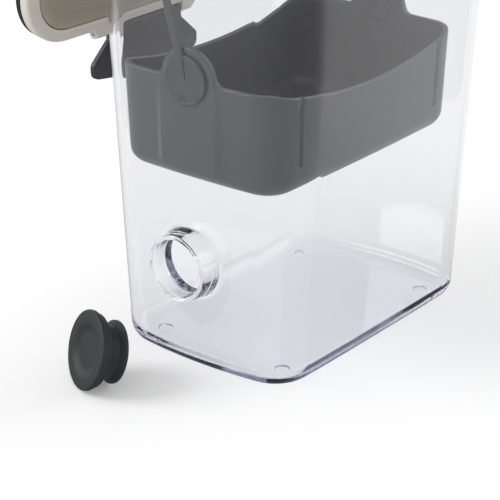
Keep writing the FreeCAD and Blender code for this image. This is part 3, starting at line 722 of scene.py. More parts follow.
class LidPlaces:
    """Heights and axes of the shut lid, worked out from the sizes."""

    def __init__(self, scene):
        tub, rim, lid = scene.keeper_tub, scene.keeper_rim, scene.keeper_lid
        self.shape = tub_shape(tub, rim.top)
        self.half_width = self.shape[1] + rim.outset
        self.bottom = rim.top + lid.seal_gap + lid.seal
        self.top = self.bottom + lid.thick
        self.hinge_y = self.half_width + rim.hinge_gap
        self.hinge_z = self.top - rim.hinge_drop
        self.latch_y = -(self.half_width + lid.pin_reach)
        self.latch_z = self.bottom + lid.thick / 2
        self.rib = tub.wall + rim.lip + lid.rib_inset
        self.open_angle = lid.open_angle
        self.latch_angle = lid.latch_angle

    def opened(self, part):
        """A piece of the shut lid turned to where it hangs behind the tub."""
        return turned_x(part[0], self.hinge_y, self.hinge_z, -self.open_angle), part[1]

    def freed(self, part):
        """The hooked latch turned to hang down, once the lid is open."""
        loose = turned_x(part[0], self.latch_y, self.latch_z, -self.latch_angle)
        return self.opened((loose, part[1]))


def bracket_spans(rim):
    """X ranges of the notches for the collar's brackets."""
    half = rim.collar_knuckle / 2 + rim.running
    return [(side * rim.hinge_x - half, side * rim.hinge_x + half) for side in (-1, 1)]


def lid_columns(scene, places):
    """Columns round the lid, with pairs of columns at the edges of every notch."""
    rim, lid = scene.keeper_rim, scene.keeper_lid
    _, end_x = tangent_places(places.shape)
    near = 0.05 * MM
    edges = [abs(x) for span in bracket_spans(rim) for x in span] + [lid.lug_inner]
    marks = np.array([(x + d) / end_x for x in edges for d in (-near, near)])
    long = np.unique(np.concatenate([np.linspace(0, 1, 15), marks]).round(6))
    return loop_columns(np.linspace(0, 1, 13), np.linspace(0, 1, 14)[1:-1], long)


def notched(points, scene, places, latch_notch=True):
    """Points moved out of the notches: behind for the brackets, in front for the latch."""
    rim, lid = scene.keeper_rim, scene.keeper_lid
    x, y = points[..., 0], points[..., 1].copy()
    behind = places.half_width - rim.bracket_depth - rim.running
    for low, high in bracket_spans(rim):
        y = np.where((x > low) & (x < high), np.minimum(y, behind), y)
    if latch_notch:
        front = -places.half_width + lid.notch
        y = np.where(np.abs(x) < lid.lug_inner, np.maximum(y, front), y)
    return np.stack([x, y, points[..., 2]], axis=-1)


# Pieces

def wall_reach(tub, y, z, inset):
    """Distance from the middle to a short side at (y, z): the side's arc, moved in by inset."""
    a, b, _, bow, _ = tub_shape(tub, z)
    big = (b ** 2 + bow ** 2) / (2 * bow)
    return a - big + np.sqrt((big - inset) ** 2 - y ** 2)


def block_loop(j0, j1, i0, i1, columns):
    """Grid indices round a block of rows j0 to j1 and columns i0 to i1, in order."""
    step = 1 if j1 > j0 else -1
    rows = np.arange(j0, j1 + step, step)
    cols = np.arange(i0, i1 + 1)
    return np.concatenate([
        j0 * columns + cols,
        rows[1:] * columns + i1,
        j1 * columns + cols[-2::-1],
        rows[-2:0:-1] * columns + i0,
    ])


def spout_rings(tub, outer, inner):
    """Rings from the outer wall round the spout and through its bore to the inner wall.

    Each ring has one point for each point of the two loops, at that point's angle about the
    spout's axis. On a wall a ring is a mix of the loop and a circle, and X follows the wall.
    """
    axis = tub.spout_z
    angle = np.arctan2(outer[:, 2] - axis, outer[:, 1])
    way = np.column_stack([np.cos(angle), np.sin(angle)])
    mouth_x = wall_reach(tub, 0.0, axis, 0.0) + tub.spout_reach
    rings = []

    def add(yz, reach):
        rings.append(np.column_stack([-reach, yz[:, 0], yz[:, 1]]))

    def circle(radius):
        return way * radius + np.array([0.0, axis])

    def reach_at(yz, inset):
        return wall_reach(tub, yz[:, 0], yz[:, 1], inset)

    foot = circle(tub.spout_root + tub.spout_flare)
    for share in np.linspace(0, 1, 9)[1:]:
        yz = (1 - share) * outer[:, 1:] + share * foot
        add(yz, reach_at(yz, 0.0))
    flare = circle_points((tub.spout_root + tub.spout_flare, tub.spout_flare), tub.spout_flare, 270, 180, 7)
    for radius, off in flare[1:]:
        yz = circle(radius)
        add(yz, reach_at(yz, 0.0) + off)
    round_start = mouth_x - tub.mouth_round
    for share in np.linspace(0, 1, 6)[1:]:
        yz = circle((1 - share) * tub.spout_root + share * tub.spout_mouth)
        root = reach_at(yz, 0.0) + tub.spout_flare
        add(yz, (1 - share) * root + share * round_start)
    edge = circle_points((tub.spout_mouth - tub.mouth_round, round_start), tub.mouth_round, 0, 90, 6)
    small = tub.bore_round
    inside = circle_points((tub.spout_bore + small, mouth_x - small), small, 90, 180, 5)
    for radius, reach in np.vstack([edge[1:], inside]):
        yz = circle(radius)
        add(yz, np.full(len(yz), reach))
    for share in np.linspace(0, 1, 6)[1:]:
        yz = circle(tub.spout_bore)
        add(yz, (1 - share) * (mouth_x - small) + share * (reach_at(yz, tub.wall) + small))
    for radius, off in circle_points((tub.spout_bore + small, small), small, 180, 270, 5)[1:]:
        yz = circle(radius)
        add(yz, reach_at(yz, tub.wall) + off)
    hole = circle(tub.spout_bore + small)
    for share in np.linspace(0, 1, 9)[1:-1]:
        yz = (1 - share) * hole + share * inner[:, 1:]
        add(yz, reach_at(yz, tub.wall))
    return np.array(rings)


def tub_part(tub):
    """The tub as one closed skin: outside, rim, inside and floor, with the spout worked in.

    The profile of (inset, z) runs from under the floor, round the bottom edge, up the wall,
    over the rim, down the inside and round the floor's edge. The block of the left wall at the
    spout is left open and filled by the spout's rings.
    """
    columns = loop_columns(np.linspace(0, 1, 15), np.linspace(0, 1, 26)[1:-1], np.linspace(0, 1, 17))
    ro, ri, rr = tub.outer_round, tub.inner_round, tub.rim_round
    low = tub.spout_z - tub.field
    high = tub.spout_z + tub.field
    heights = np.concatenate([
        np.linspace(ro, low, 6)[1:-1], np.linspace(low, high, 15), np.linspace(high, tub.height - rr, 14)[1:-1]])
    outside = np.column_stack([np.zeros(len(heights)), heights])
    inner_heights = np.where(heights < low, np.maximum(heights, tub.floor + ri + 0.5 * MM), heights)
    inside = np.column_stack([np.full(len(heights), tub.wall), inner_heights])[::-1]
    flat = 5 * MM
    start = [
        np.array([[ro + flat, 0.0]]),
        circle_points((ro, ro), ro, 270, 180, 13),
    ]
    over = [
        circle_points((rr, tub.height - rr), rr, 180, 90, 4),
        circle_points((tub.wall - rr, tub.height - rr), rr, 90, 0, 4),
    ]
    end = [
        circle_points((tub.wall + ri, tub.floor + ri), ri, 180, 270, 11),
        np.array([[tub.wall + ri + flat, tub.floor]]),
    ]
    profile = np.vstack([*start, outside, *over, inside, *end])
    points = carried(columns, lambda z: tub_shape(tub, z), profile)
    rows, count = points.shape[:2]
    first_out = sum(len(s) for s in start)
    first_in = first_out + len(outside) + sum(len(s) for s in over)
    spout_row = int(np.argmin(np.abs(heights - low)))
    spout_end = int(np.argmin(np.abs(heights - high)))
    end_y, _ = tangent_places(tub_shape(tub, tub.spout_z))
    side = np.flatnonzero(
        (columns["kind"] == SHORT) & (columns["sx"] < 0) & (columns["part"] * end_y < tub.field))
    i0, i1 = side[0], side[-1]
    out_rows = (first_out + spout_row, first_out + spout_end)
    in_rows = (first_in + len(heights) - 1 - spout_row, first_in + len(heights) - 1 - spout_end)
    flat_points = points.reshape(-1, 3)
    outer_loop = block_loop(*out_rows, i0, i1, count)
    inner_loop = block_loop(*in_rows, i0, i1, count)
    rings = spout_rings(tub, flat_points[outer_loop], flat_points[inner_loop])
    faces = grid_faces(rows, count)
    j = faces[:, 0] // count
    i = faces[:, 0] % count
    in_side = (i >= i0) & (i < i1)
    out_block = in_side & (j >= out_rows[0]) & (j < out_rows[1])
    in_block = in_side & (j >= in_rows[1]) & (j < in_rows[0])
    faces = faces[~(out_block | in_block)]
    around = len(outer_loop)
    index = np.arange(rings.shape[0] * around).reshape(-1, around) + rows * count
    index = np.vstack([outer_loop, index, inner_loop])
    nxt = np.roll(index, -1, axis=1)
    tube = np.stack([index[:-1], nxt[:-1], nxt[1:], index[1:]], axis=-1).reshape(-1, 4)
    every = np.vstack([flat_points, rings.reshape(-1, 3)])
    return every, faces.tolist() + tube.tolist() + ends_of(rows, count)


def mark_cutters(tub):
    """Shallow round bowls that reach up into the underside at the four marks."""
    low = -1.0 * MM
    t = np.linspace(90, 0, 7)
    arc = np.column_stack([np.cos(np.radians(t)), np.sin(np.radians(t))]) * [tub.mark_radius, tub.mark_depth]
    profile = np.vstack([arc, [[tub.mark_radius, low], [0.0, low]]])
    points, faces = revolved(profile, 40)
    bowls = []
    for sx in (-1, 1):
        for sy in (-1, 1):
            bowls.append((points + [sx * tub.mark_x, sy * tub.mark_y, 0], faces))
    return joined(*bowls)


def collar_part(tub, rim):
    """The collar: a channel profile carried round the tub's rim and closed on itself."""
    columns = loop_columns(np.linspace(0, 1, 13), np.linspace(0, 1, 14)[1:-1], np.linspace(0, 1, 15))
    low = rim.top - rim.depth
    r = rim.edge_round
    inner = tub.wall + rim.lip
    small = 0.4 * MM
    profile = np.vstack([
        circle_points((small - rim.outset, low + small), small, 270, 180, 4),
        circle_points((r - rim.outset, rim.top - r), r, 180, 90, 7),
        circle_points((inner - r, rim.top - r), r, 90, 0, 7),
        circle_points((inner - small / 2, low + small / 2), small / 2, 0, -90, 4),
        [[tub.wall + rim.gap, low], [tub.wall + rim.gap, tub.height + rim.gap],
         [-rim.gap, tub.height + rim.gap], [-rim.gap, low]],
    ])
    return ring(carried(columns, lambda z: tub_shape(tub, z), profile))


def rod(radius, x0, x1, y, z, edge=0.0):
    """A round rod along X with chamfered ends."""
    profile = np.array([[0, 0], [radius - edge, 0], [radius, edge], [radius, x1 - x0 - edge],
                        [radius - edge, x1 - x0], [0, x1 - x0]])
    points, faces = revolved(profile, 40)
    return along_x(points, x0, y, z), faces


def sleeve(radius, bore, half, y, z, edge):
    """A round sleeve along X with chamfered outer edges: its profile spun and closed on itself."""
    profile = np.array([[bore, 0], [radius - edge, 0], [radius, edge], [radius, 2 * half - edge],
                        [radius - edge, 2 * half], [bore, 2 * half]])
    points, faces = ring(spun(profile, 40))
    return along_x(points, -half, y, z), faces


def station_parts(rim, places):
    """Brackets and barrels of the collar at both hinge stations, as outlines carried along X."""
    y, z = places.hinge_y, places.hinge_z
    rise = rim.bracket_thick / 2
    back = places.half_width - rim.bracket_depth
    foot = places.half_width - rim.gap
    low = rim.top - 1.0 * MM
    lean = math.degrees(math.asin(rise / rim.knuckle))
    barrel = circle_points((y, z), rim.knuckle, 180 - lean, lean - 180, 26)
    outline = np.vstack([[[back, z + rise]], barrel, [[foot, z - rise], [foot, low], [back, low]]])
    half = rim.collar_knuckle / 2
    return [prism(outline, s * rim.hinge_x - half, s * rim.hinge_x + half) for s in (-1, 1)]


def nose_part(rim, places):
    """Catch nose on the collar's front, bevelled above so that the hook rides over it."""
    front = -(places.half_width + rim.nose_reach)
    back = -(places.half_width - 1.5 * MM)
    top = rim.nose_z + rim.nose_tall
    outline = [(back, rim.nose_z), (back, top), (front + 0.6 * MM, top), (front, top - 1.0 * MM), (front, rim.nose_z)]
    return prism(np.array(outline), -rim.nose_half, rim.nose_half)


def recess_shape(scene, places):
    """Outline of the recess: the lid's outline with a wider border at the short sides."""
    rim, lid = scene.keeper_rim, scene.keeper_lid
    a, b, corner, bow_x, bow_y = places.shape
    out = rim.outset
    shrink = (lid.border_side + lid.border_front) / 2
    return (a + out - lid.border_side, b + out - lid.border_front, corner + out - shrink, bow_x, bow_y)


def lid_part(scene, places):
    """The lid's tray: rows of (outline, inset, z) from under its middle, round its edge, to the recess."""
    rim, lid = scene.keeper_rim, scene.keeper_lid
    columns = lid_columns(scene, places)
    rib_in = places.rib + lid.rib_thick
    rib_low = places.bottom - lid.rib_depth
    out = -rim.outset
    r = lid.edge_round
    small = 0.4 * MM
    recess_z = places.top - lid.recess
    soft = 1.1 * MM
    turn_in = 1.2 * MM
    flat = 4.0 * MM
    outer_rows = np.vstack([
        [[rib_in + flat, places.bottom], [rib_in, places.bottom]],
        circle_points((rib_in - small, rib_low + small), small, 0, -90, 4),
        circle_points((places.rib + small, rib_low + small), small, 270, 180, 4),
        [[places.rib, places.bottom]],
        circle_points((out + small, places.bottom + small), small, 270, 180, 4),
        circle_points((out + r, places.top - r), r, 180, 90, 8),
    ])
    recess_rows = np.vstack([
        circle_points((-soft, places.top - soft), soft, 90, 0, 7),
        circle_points((turn_in, recess_z + turn_in), turn_in, 180, 270, 7),
        [[turn_in + flat, recess_z]],
    ])
    outer = carried(columns, lambda z: places.shape, outer_rows)
    inner = carried(columns, lambda z: recess_shape(scene, places), recess_rows)
    points = notched(np.vstack([outer, inner]), scene, places)
    return capped(points)


def panel_part(scene, places):
    """Inset panel: flat in the middle, its edge turned up against the recess's wall.

    Its height over the recess's floor is the panel's thickness, plus the rise times
    (1 - d / width) squared, where d is the distance from its edge.
    """
    lid = scene.keeper_lid
    columns = lid_columns(scene, places)
    floor = places.top - lid.recess + 0.05 * MM
    gap = 0.25 * MM
    edge = gap + 1.0 * MM
    top = floor + lid.panel
    d = np.linspace(0, 1, 12)
    rise = np.column_stack([gap + 0.35 * MM + d * lid.panel_turn, top + lid.panel_rise * (1 - d) ** 2])
    rows = np.vstack([
        [[edge + lid.panel_turn, floor], [edge, floor]],
        [[gap, floor + 1.2 * MM], [gap, top + lid.panel_rise - 0.3 * MM]],
        rise,
        [[edge + lid.panel_turn + 1.0 * MM, top]],
    ])
    return capped(carried(columns, lambda z: recess_shape(scene, places), rows))


def seal_part(scene, places):
    """Soft seal: a flat ring with round edges, under the border and round the rib."""
    rim, lid = scene.keeper_rim, scene.keeper_lid
    columns = lid_columns(scene, places)
    r = 0.7 * MM
    out = rim.gap - rim.outset
    inner = places.rib - rim.gap
    low = places.bottom - lid.seal
    high = places.bottom - 0.02 * MM
    rows = np.vstack([
        circle_points((out + r, low + r), r, 270, 180, 5),
        circle_points((out + r, high - r), r, 180, 90, 5),
        [[inner, high], [inner, low]],
    ])
    points = carried(columns, lambda z: places.shape, rows)
    return ring(notched(points, scene, places, latch_notch=False))


def lid_knuckle_parts(rim, places):
    """The lid's four hinge knuckles, each a web and a barrel."""
    y, z = places.hinge_y, places.hinge_z
    back = places.half_width - 1.5 * MM
    low = z - 0.8 * MM
    lean = math.degrees(math.asin(0.8 * MM / rim.knuckle))
    barrel = circle_points((y, z), rim.knuckle, 90, -180 + lean, 26)
    outline = np.vstack([[[back, low], [back, places.top]], barrel])
    beside = (rim.collar_knuckle + rim.lid_knuckle) / 2 + rim.running
    half = rim.lid_knuckle / 2
    parts = []
    for station in (-rim.hinge_x, rim.hinge_x):
        for side in (-beside, beside):
            parts.append(prism(outline, station + side - half, station + side + half))
    return parts


def lug_parts(lid, places):
    """Two lugs for the latch pin, with slanted outer ends and a round nose."""
    y, z = places.latch_y, places.latch_z
    back = -places.half_width + 1.5 * MM
    nose = circle_points((y, z), lid.lug, 90, 270, 16)
    outline = np.vstack([nose, [[back, places.bottom], [back, places.top]]])
    parts = []
    for sign in (-1, 1):
        rows = []
        for share in (0.0, 1.0):
            depth = np.clip((outline[:, 0] - y) / (back - y), 0, 1)
            far = lid.lug_tip + depth * (lid.lug_outer - lid.lug_tip)
            x = (1 - share) * lid.lug_inner + share * far
            rows.append(np.column_stack([sign * x, outline]))
        parts.append(capped(np.array(rows)))
    return parts


def latch_part(lid, places):
    """Latch flap, hooked: narrow at the pin, flaring to an arched end with round corners."""
    y, z = places.latch_y, places.latch_z
    root, wide = lid.latch_root, lid.latch_end
    start = z - lid.flare_start
    end = z - lid.flare_end
    low = z - lid.latch_length
    side = low + lid.latch_sag
    u = np.linspace(-1, 1, 9)[1:-1]
    arch = np.column_stack([wide * u, low + lid.latch_sag * u ** 2])
    corners = np.vstack([
        [(-root, z), (-root, start), (-wide, end), (-wide, side)], arch,
        [(wide, side), (wide, end), (root, start), (root, z)]])
    at_pin, at_root, at_flare, along_arch = 0.3 * MM, 1.5 * MM, 2.5 * MM, 30 * MM
    one_side = [at_pin, at_root, at_flare, lid.latch_corner]
    radii = one_side + [along_arch] * len(arch) + one_side[::-1]
    return slab(rounded(corners, radii), y - lid.latch_thick, y)


def latch_extras(rim, lid, places):
    """Barrel at the pin and the hook behind the flap."""
    y, z = places.latch_y, places.latch_z
    top = rim.nose_z - rim.running
    low = top - lid.hook_tall
    reach = y + rim.nose_reach
    hook = [(y - lid.latch_thick / 2, low), (y - lid.latch_thick / 2, top), (reach, top),
            (reach, top - 0.9 * MM), (y + 0.2 * MM, low)]
    barrel = sleeve(lid.lug, lid.latch_pin + PIN_PLAY, lid.latch_root, y, z, BARREL_CHAMFER)
    return [barrel, prism(np.array(hook), -rim.nose_half, rim.nose_half)]


def basket_shape(basket, z):
    """Half sizes, corner radius and bows of the basket at a height."""
    below = basket.bottom + basket.height - z
    same = 0 * z
    return (
        basket.half_length - basket.draft * below,
        basket.half_width - basket.draft * below,
        basket.corner + same,
        basket.short_bow + same,
        basket.long_bow + same,
    )


def basket_rim(basket, x, y):
    """Height of the rim over (x, y), unsigned: the lower of the ear's and the dip's profile.

    The ear is a circle about the pivot with a fillet into the rim, and the dip is a circle
    through its two ends and its lowest point.
    """
    rim = basket.bottom + basket.height
    pivot = basket.bottom + basket.pivot
    join = rim + basket.ear_fillet
    both = basket.ear + basket.ear_fillet
    gap = math.sqrt(both ** 2 - (join - pivot) ** 2)
    touch = basket.ear * gap / both
    top = pivot + np.sqrt(np.maximum(basket.ear ** 2 - y ** 2, 0))
    fillet = join - np.sqrt(np.maximum(basket.ear_fillet ** 2 - (gap - y) ** 2, 0))
    ear = np.where(y < touch, top, np.where(y < gap, fillet, rim))
    big = (basket.dip_half ** 2 + basket.dip ** 2) / (2 * basket.dip)
    arc = rim - basket.dip + big - np.sqrt(big ** 2 - np.minimum(x, basket.dip_half) ** 2)
    return np.where(x < basket.dip_half, np.minimum(arc, ear), ear)


def basket_columns(basket):
    """Columns round the basket, with pairs at the edges of the pads and grooves."""
    shape = basket_shape(basket, basket.bottom + basket.height)
    end_y, end_x = tangent_places(shape)
    run = basket.edge_run / 2
    pad = (basket.pad_half + basket.pad_run * np.linspace(-0.5, 0.5, 7)) / end_y
    half = basket.groove_width / 2
    groove = [(basket.groove_x + side + d) / end_x for side in (-half, half) for d in (-run, run)]
    short = np.unique(np.concatenate([np.linspace(0, 1, 25), pad]).round(6))
    long = np.unique(np.concatenate([np.linspace(0, 1, 27), groove]).round(6))
    return loop_columns(short, np.linspace(0, 1, 16)[1:-1], long)


def basket_wall(basket, columns, inset, z):
    """Unsigned X and Y of the basket's wall; the outside has the pads and grooves.

    At share s of its edge a pad stands out by s * s * (3 - 2 * s) of the way to its face.
    """
    x, y = bowed_quarter(columns, basket_shape(basket, z), inset)
    kind = columns["kind"][None, :]
    s = np.clip((basket.pad_half - y) / basket.pad_run + 0.5, 0, 1)
    out = np.maximum(basket.half_length + basket.pad_proud - inset - x, 0)
    on_pad = (kind == SHORT) & (z > basket.bottom + basket.outer_round) & (inset < basket.wall / 2)
    x = np.where(on_pad, x + s * s * (3 - 2 * s) * out, x)
    in_groove = (
        (kind == LONG) & (np.abs(x - basket.groove_x) < basket.groove_width / 2)
        & (z > basket.bottom + basket.groove_stop) & (inset < basket.groove_depth))
    y = np.where(in_groove, y - (basket.groove_depth - inset), y)
    return x, y


def basket_part(basket):
    """The basket as one closed skin whose rim follows the ears and the dips.

    Rows run from under the floor, round the bottom edge, up the outside, over the rim and down
    the inside. Above the groove's lower end a row's height is a share of the way to the rim.
    """
    columns = basket_columns(basket)
    ro, ri, lip = basket.outer_round, basket.inner_round, basket.lip_round
    bottom = basket.bottom
    floor = bottom + basket.floor
    count = len(columns["kind"])
    rim_x, rim_y = bowed_quarter(columns, tuple(np.full((1, 1), v) for v in basket_shape(
        basket, bottom + basket.height)), 0.0)
    rim = basket_rim(basket, rim_x, rim_y)
    stop = bottom + basket.groove_stop
    near = 0.1 * MM
    rows = []

    def level(inset, z):
        rows.append((inset, np.full((1, count), z)))

    level(ro + 4 * MM, bottom)
    for inset, z in circle_points((ro, bottom + ro), ro, 270, 180, 12):
        level(inset, z)
    level(0.0, bottom + ro + near)
    for z in np.linspace(bottom + ro + near, stop - near, 3)[1:]:
        level(0.0, z)
    climb = rim - lip - stop - near
    for share in np.linspace(0, 1, 14):
        rows.append((0.0, stop + near + share * climb))
    for inset, over in circle_points((lip, 0.0), lip, 180, 90, 5)[1:]:
        rows.append((inset, rim - lip + over))
    for inset, over in circle_points((basket.wall - lip, 0.0), lip, 90, 0, 5):
        rows.append((inset, rim - lip + over))
    down = rim - lip - floor - ri
    for share in np.linspace(1, 0, 14)[1:]:
        rows.append((basket.wall, floor + ri + share * down))
    for inset, z in circle_points((basket.wall + ri, floor + ri), ri, 180, 270, 9)[1:]:
        level(inset, z)
    level(basket.wall + ri + 3 * MM, floor)
    inset = np.array([[row[0]] for row in rows])
    z = np.vstack([row[1] for row in rows])
    x, y = basket_wall(basket, columns, inset, z)
    return capped(signed(columns, x, y, z))


def slot_cutters(basket):
    """Three columns and five rows of round-ended slots through the floor."""
    half = (basket.slot_length - basket.slot_width) / 2
    r = basket.slot_width / 2
    left = circle_points((-half, 0), r, 90, 270, 12)
    right = circle_points((half, 0), r, -90, 90, 12)
    outline = np.vstack([left, right])
    low = basket.bottom - 1 * MM
    high = basket.bottom + basket.floor + 1 * MM
    slots = []
    for column in (-1, 0, 1):
        for row in (-2, -1, 0, 1, 2):
            place = outline + [column * basket.pitch_x, row * basket.pitch_y]
            rows = [np.column_stack([place, np.full(len(place), z)]) for z in (low, high)]
            slots.append(capped(np.array(rows)))
    return joined(*slots)


def hung(basket, part):
    """A piece of the centred basket moved to where it hangs."""
    return part[0] + [basket.offset_x, basket.offset_y, 0.0], part[1]


def leaning(basket, part):
    """A piece of the upright handle turned to its lean and hung."""
    pivot = basket.bottom + basket.pivot
    return hung(basket, (turned_x(part[0], 0.0, pivot, -basket.lean), part[1]))


def hub_face(basket):
    """Distance from the middle to the inner face of the handle's hubs."""
    return basket.half_length + basket.pad_proud + basket.hub_gap


def strap_part(basket):
    """Strap from hub to hub: a rounded section carried along legs, bends and a level top.

    The section is a superellipse, |a|^4 + |b|^4 = 1, scaled to the strap's width and thickness.
    Over a hub the width narrows evenly to a point at the pivot, and stands a little proud.
    """
    pivot = basket.bottom + basket.pivot
    half = basket.strap_thick / 2
    side = hub_face(basket) + half
    top = pivot + basket.rise + half
    bend = basket.bend - half
    leg = np.concatenate([np.linspace(0, basket.hub, 9), np.linspace(basket.hub, top - bend - pivot, 12)[1:]])
    up = np.column_stack([np.full(len(leg), side), pivot + leg])
    round_over = circle_points((side - bend, top - bend), bend, 0, 90, 20)[1:]
    level = np.column_stack([np.linspace(side - bend, 0, 8)[1:], np.full(7, top)])
    right = np.vstack([up, round_over, level])
    path = np.vstack([right, (right * [-1, 1])[-2::-1]])
    along = np.gradient(path, axis=0)
    along /= np.linalg.norm(along, axis=1)[:, None]
    out = np.column_stack([along[:, 1], -along[:, 0]])
    rise = np.concatenate([leg, np.full(len(round_over) + len(level), basket.hub * 2)])
    rise = np.concatenate([rise, rise[-2::-1]])
    width = basket.strap_width / 2 * np.clip(0.06 + 0.94 * rise / basket.hub, 0, 1)
    proud = 0.22 * MM * np.clip(1.6 - rise / basket.hub, 0, 1) * np.clip(rise / (0.3 * basket.hub), 0, 1)
    a, b = superellipse(24, 0.5)
    shift = half * b[None, :] + proud[:, None]
    x = path[:, :1] + out[:, :1] * shift
    z = path[:, 1:] + out[:, 1:] * shift
    y = width[:, None] * a[None, :]
    return capped(np.stack([x, y, z], axis=-1))


def hub_parts(basket):
    """Flat round hubs: a bead round the edge and a face that lies a little lower."""
    pivot = basket.bottom + basket.pivot
    r = basket.hub_round
    edge = basket.hub
    thick = basket.strap_thick
    face = thick - basket.hub_sink
    profile = np.vstack([
        [[0, 0], [edge - 0.2 * MM, 0], [edge, 0.2 * MM]],
        circle_points((edge - r, thick - r), r, 0, 90, 6),
        circle_points((edge - r, thick - r), r, 90, 150, 4)[1:],
        [[edge - 1.3 * MM, face], [edge - 1.6 * MM, face], [0, face]],
    ])
    points, faces = revolved(profile, 96)
    return [(along_x(points, sign * hub_face(basket), 0.0, pivot, sign), faces) for sign in (-1, 1)]


def grip_part(basket):
    """Grip: a superellipse section carried along X, drawn in at both ends.

    At share u of the half length the section is scaled by (1 - |u|^6)^(1/3).
    """
    pivot = basket.bottom + basket.pivot
    low = pivot + basket.rise
    u = np.sin(np.linspace(-math.pi / 2, math.pi / 2, 33))
    scale = (1 - np.abs(u) ** 6) ** (1 / 3)
    a, b = superellipse(32, 0.6)
    x = np.broadcast_to((u * basket.grip_half)[:, None], (len(u), len(a)))
    y = scale[:, None] * a * basket.grip_width / 2
    z = low + basket.grip_thick / 2 + scale[:, None] * b * basket.grip_thick / 2
    return capped(np.stack([x, y, z], axis=-1))


def stud_part(basket, sign):
    """Pivot stud: a round head inside the ear and a shank through it."""
    pivot = basket.bottom + basket.pivot
    head_face = basket.half_length - basket.wall - basket.stud_gap
    start = head_face - basket.stud_head_thick
    end = hub_face(basket)
    r = 0.6 * MM
    head = basket.stud_head
    profile = np.vstack([
        [[0, 0.25 * MM], [head * 0.35, 0.2 * MM], [head * 0.5, 0]],
        circle_points((head - r, r), r, 270, 360, 6),
        [[head, basket.stud_head_thick], [basket.stud, basket.stud_head_thick],
         [basket.stud, end - start], [0, end - start]],
    ])
    points, faces = revolved(profile, 64)
    return along_x(points, sign * start, 0.0, pivot, sign), faces


def plug_part(plug):
    """The plug: its profile spun about its axis, then laid on the rims of its flange and lip.

    The dish is flat to a share of its radius, and from there rises as (1 + cos(pi * s)) / 2.
    """
    r = plug.edge_round
    flange, back = plug.flange, plug.flange_thick
    step = back + plug.step_thick
    neck = step + plug.groove_width
    hollow = step + plug.web
    small = 0.3 * MM
    t = np.linspace(0, 1, 33)
    rise = np.clip((t - plug.dish_flat) / (1 - plug.dish_flat), 0, 1)
    profile = np.vstack([
        np.column_stack([plug.dish * t, plug.dish_depth * (1 + np.cos(math.pi * rise)) / 2]),
        circle_points((flange - r, r), r, 270, 360, 7),
        circle_points((flange - r, back - r), r, 0, 90, 7),
        [[plug.step + small, back], [plug.step, back + small], [plug.step, step - small],
         [plug.step - small, step], [plug.groove, step], [plug.groove, neck],
         [plug.neck - small, neck], [plug.neck, neck + small],
         [plug.neck, neck + plug.neck_land], [plug.lip - small, plug.length - plug.lip_thick],
         [plug.lip, plug.length - plug.lip_thick + small]],
        circle_points((plug.lip - small, plug.length - small), small, 0, 90, 4),
        [[plug.bore + small, plug.length], [plug.bore, plug.length - small], [plug.bore, hollow + small],
         [plug.bore - small, hollow], [0, hollow]],
    ])
    points, faces = revolved(profile, 120)
    tilt = math.pi / 2 + math.atan2(flange - plug.lip, plug.length - back + r)
    ct, st = math.cos(tilt), math.sin(tilt)
    x = points[:, 0] * ct + points[:, 2] * st
    z = -points[:, 0] * st + points[:, 2] * ct
    ch, sh = math.cos(plug.heading), math.sin(plug.heading)
    placed = np.stack([
        plug.x + x * ch - points[:, 1] * sh, plug.y + x * sh + points[:, 1] * ch, z - z.min()], axis=-1)
    return placed, faces


class MakePiece:
    """What every operator of a piece shares."""

    bl_options = {"REGISTER", "UNDO"}


class KEEPER_OT_tub(MakePiece, bpy.types.Operator):
    """Make the clear tub with its spout and the marks in its underside"""

    bl_idname = "keeper.tub"
    bl_label = "Tub"

    def execute(self, context):
        tub = context.scene.keeper_tub
        piece("tub_skin", tub_part(tub), finish(context, "clear_tub"), "base", ("tub",),
              cutter=mark_cutters(tub))
        return {"FINISHED"}


class KEEPER_OT_collar(MakePiece, bpy.types.Operator):
    """Make the collar on the rim with its hinge brackets, catch nose and hinge pins"""

    bl_idname = "keeper.collar"
    bl_label = "Rim collar"

    def execute(self, context):
        scene = context.scene
        tub, rim = scene.keeper_tub, scene.keeper_rim
        places = LidPlaces(scene)
        cream = finish(context, "cream_plastic")
        metal = finish(context, "pin_steel")
        piece("collar_frame", collar_part(tub, rim), cream, "base", ("rim_collar",))
        y, z = places.hinge_y, places.hinge_z
        reach = rim.hinge_x + 10 * MM
        hole = rod(rim.pin + PIN_PLAY, -reach, reach, y, z)
        piece("collar_brackets", joined(*station_parts(rim, places)), cream, "base",
              cutter=hole, bevel=SMALL_BEVEL)
        piece("catch_nose", nose_part(rim, places), cream, "base", bevel=SMALL_BEVEL)
        half = rim.collar_knuckle / 2 + rim.running + rim.lid_knuckle
        for side, node in ((-1, "hinge_pin_left"), (1, "hinge_pin_right")):
            x = side * rim.hinge_x
            piece(node + "_turned", rod(rim.pin, x - half, x + half, y, z, PIN_CHAMFER), metal, "base",
                  (node,))
        return {"FINISHED"}


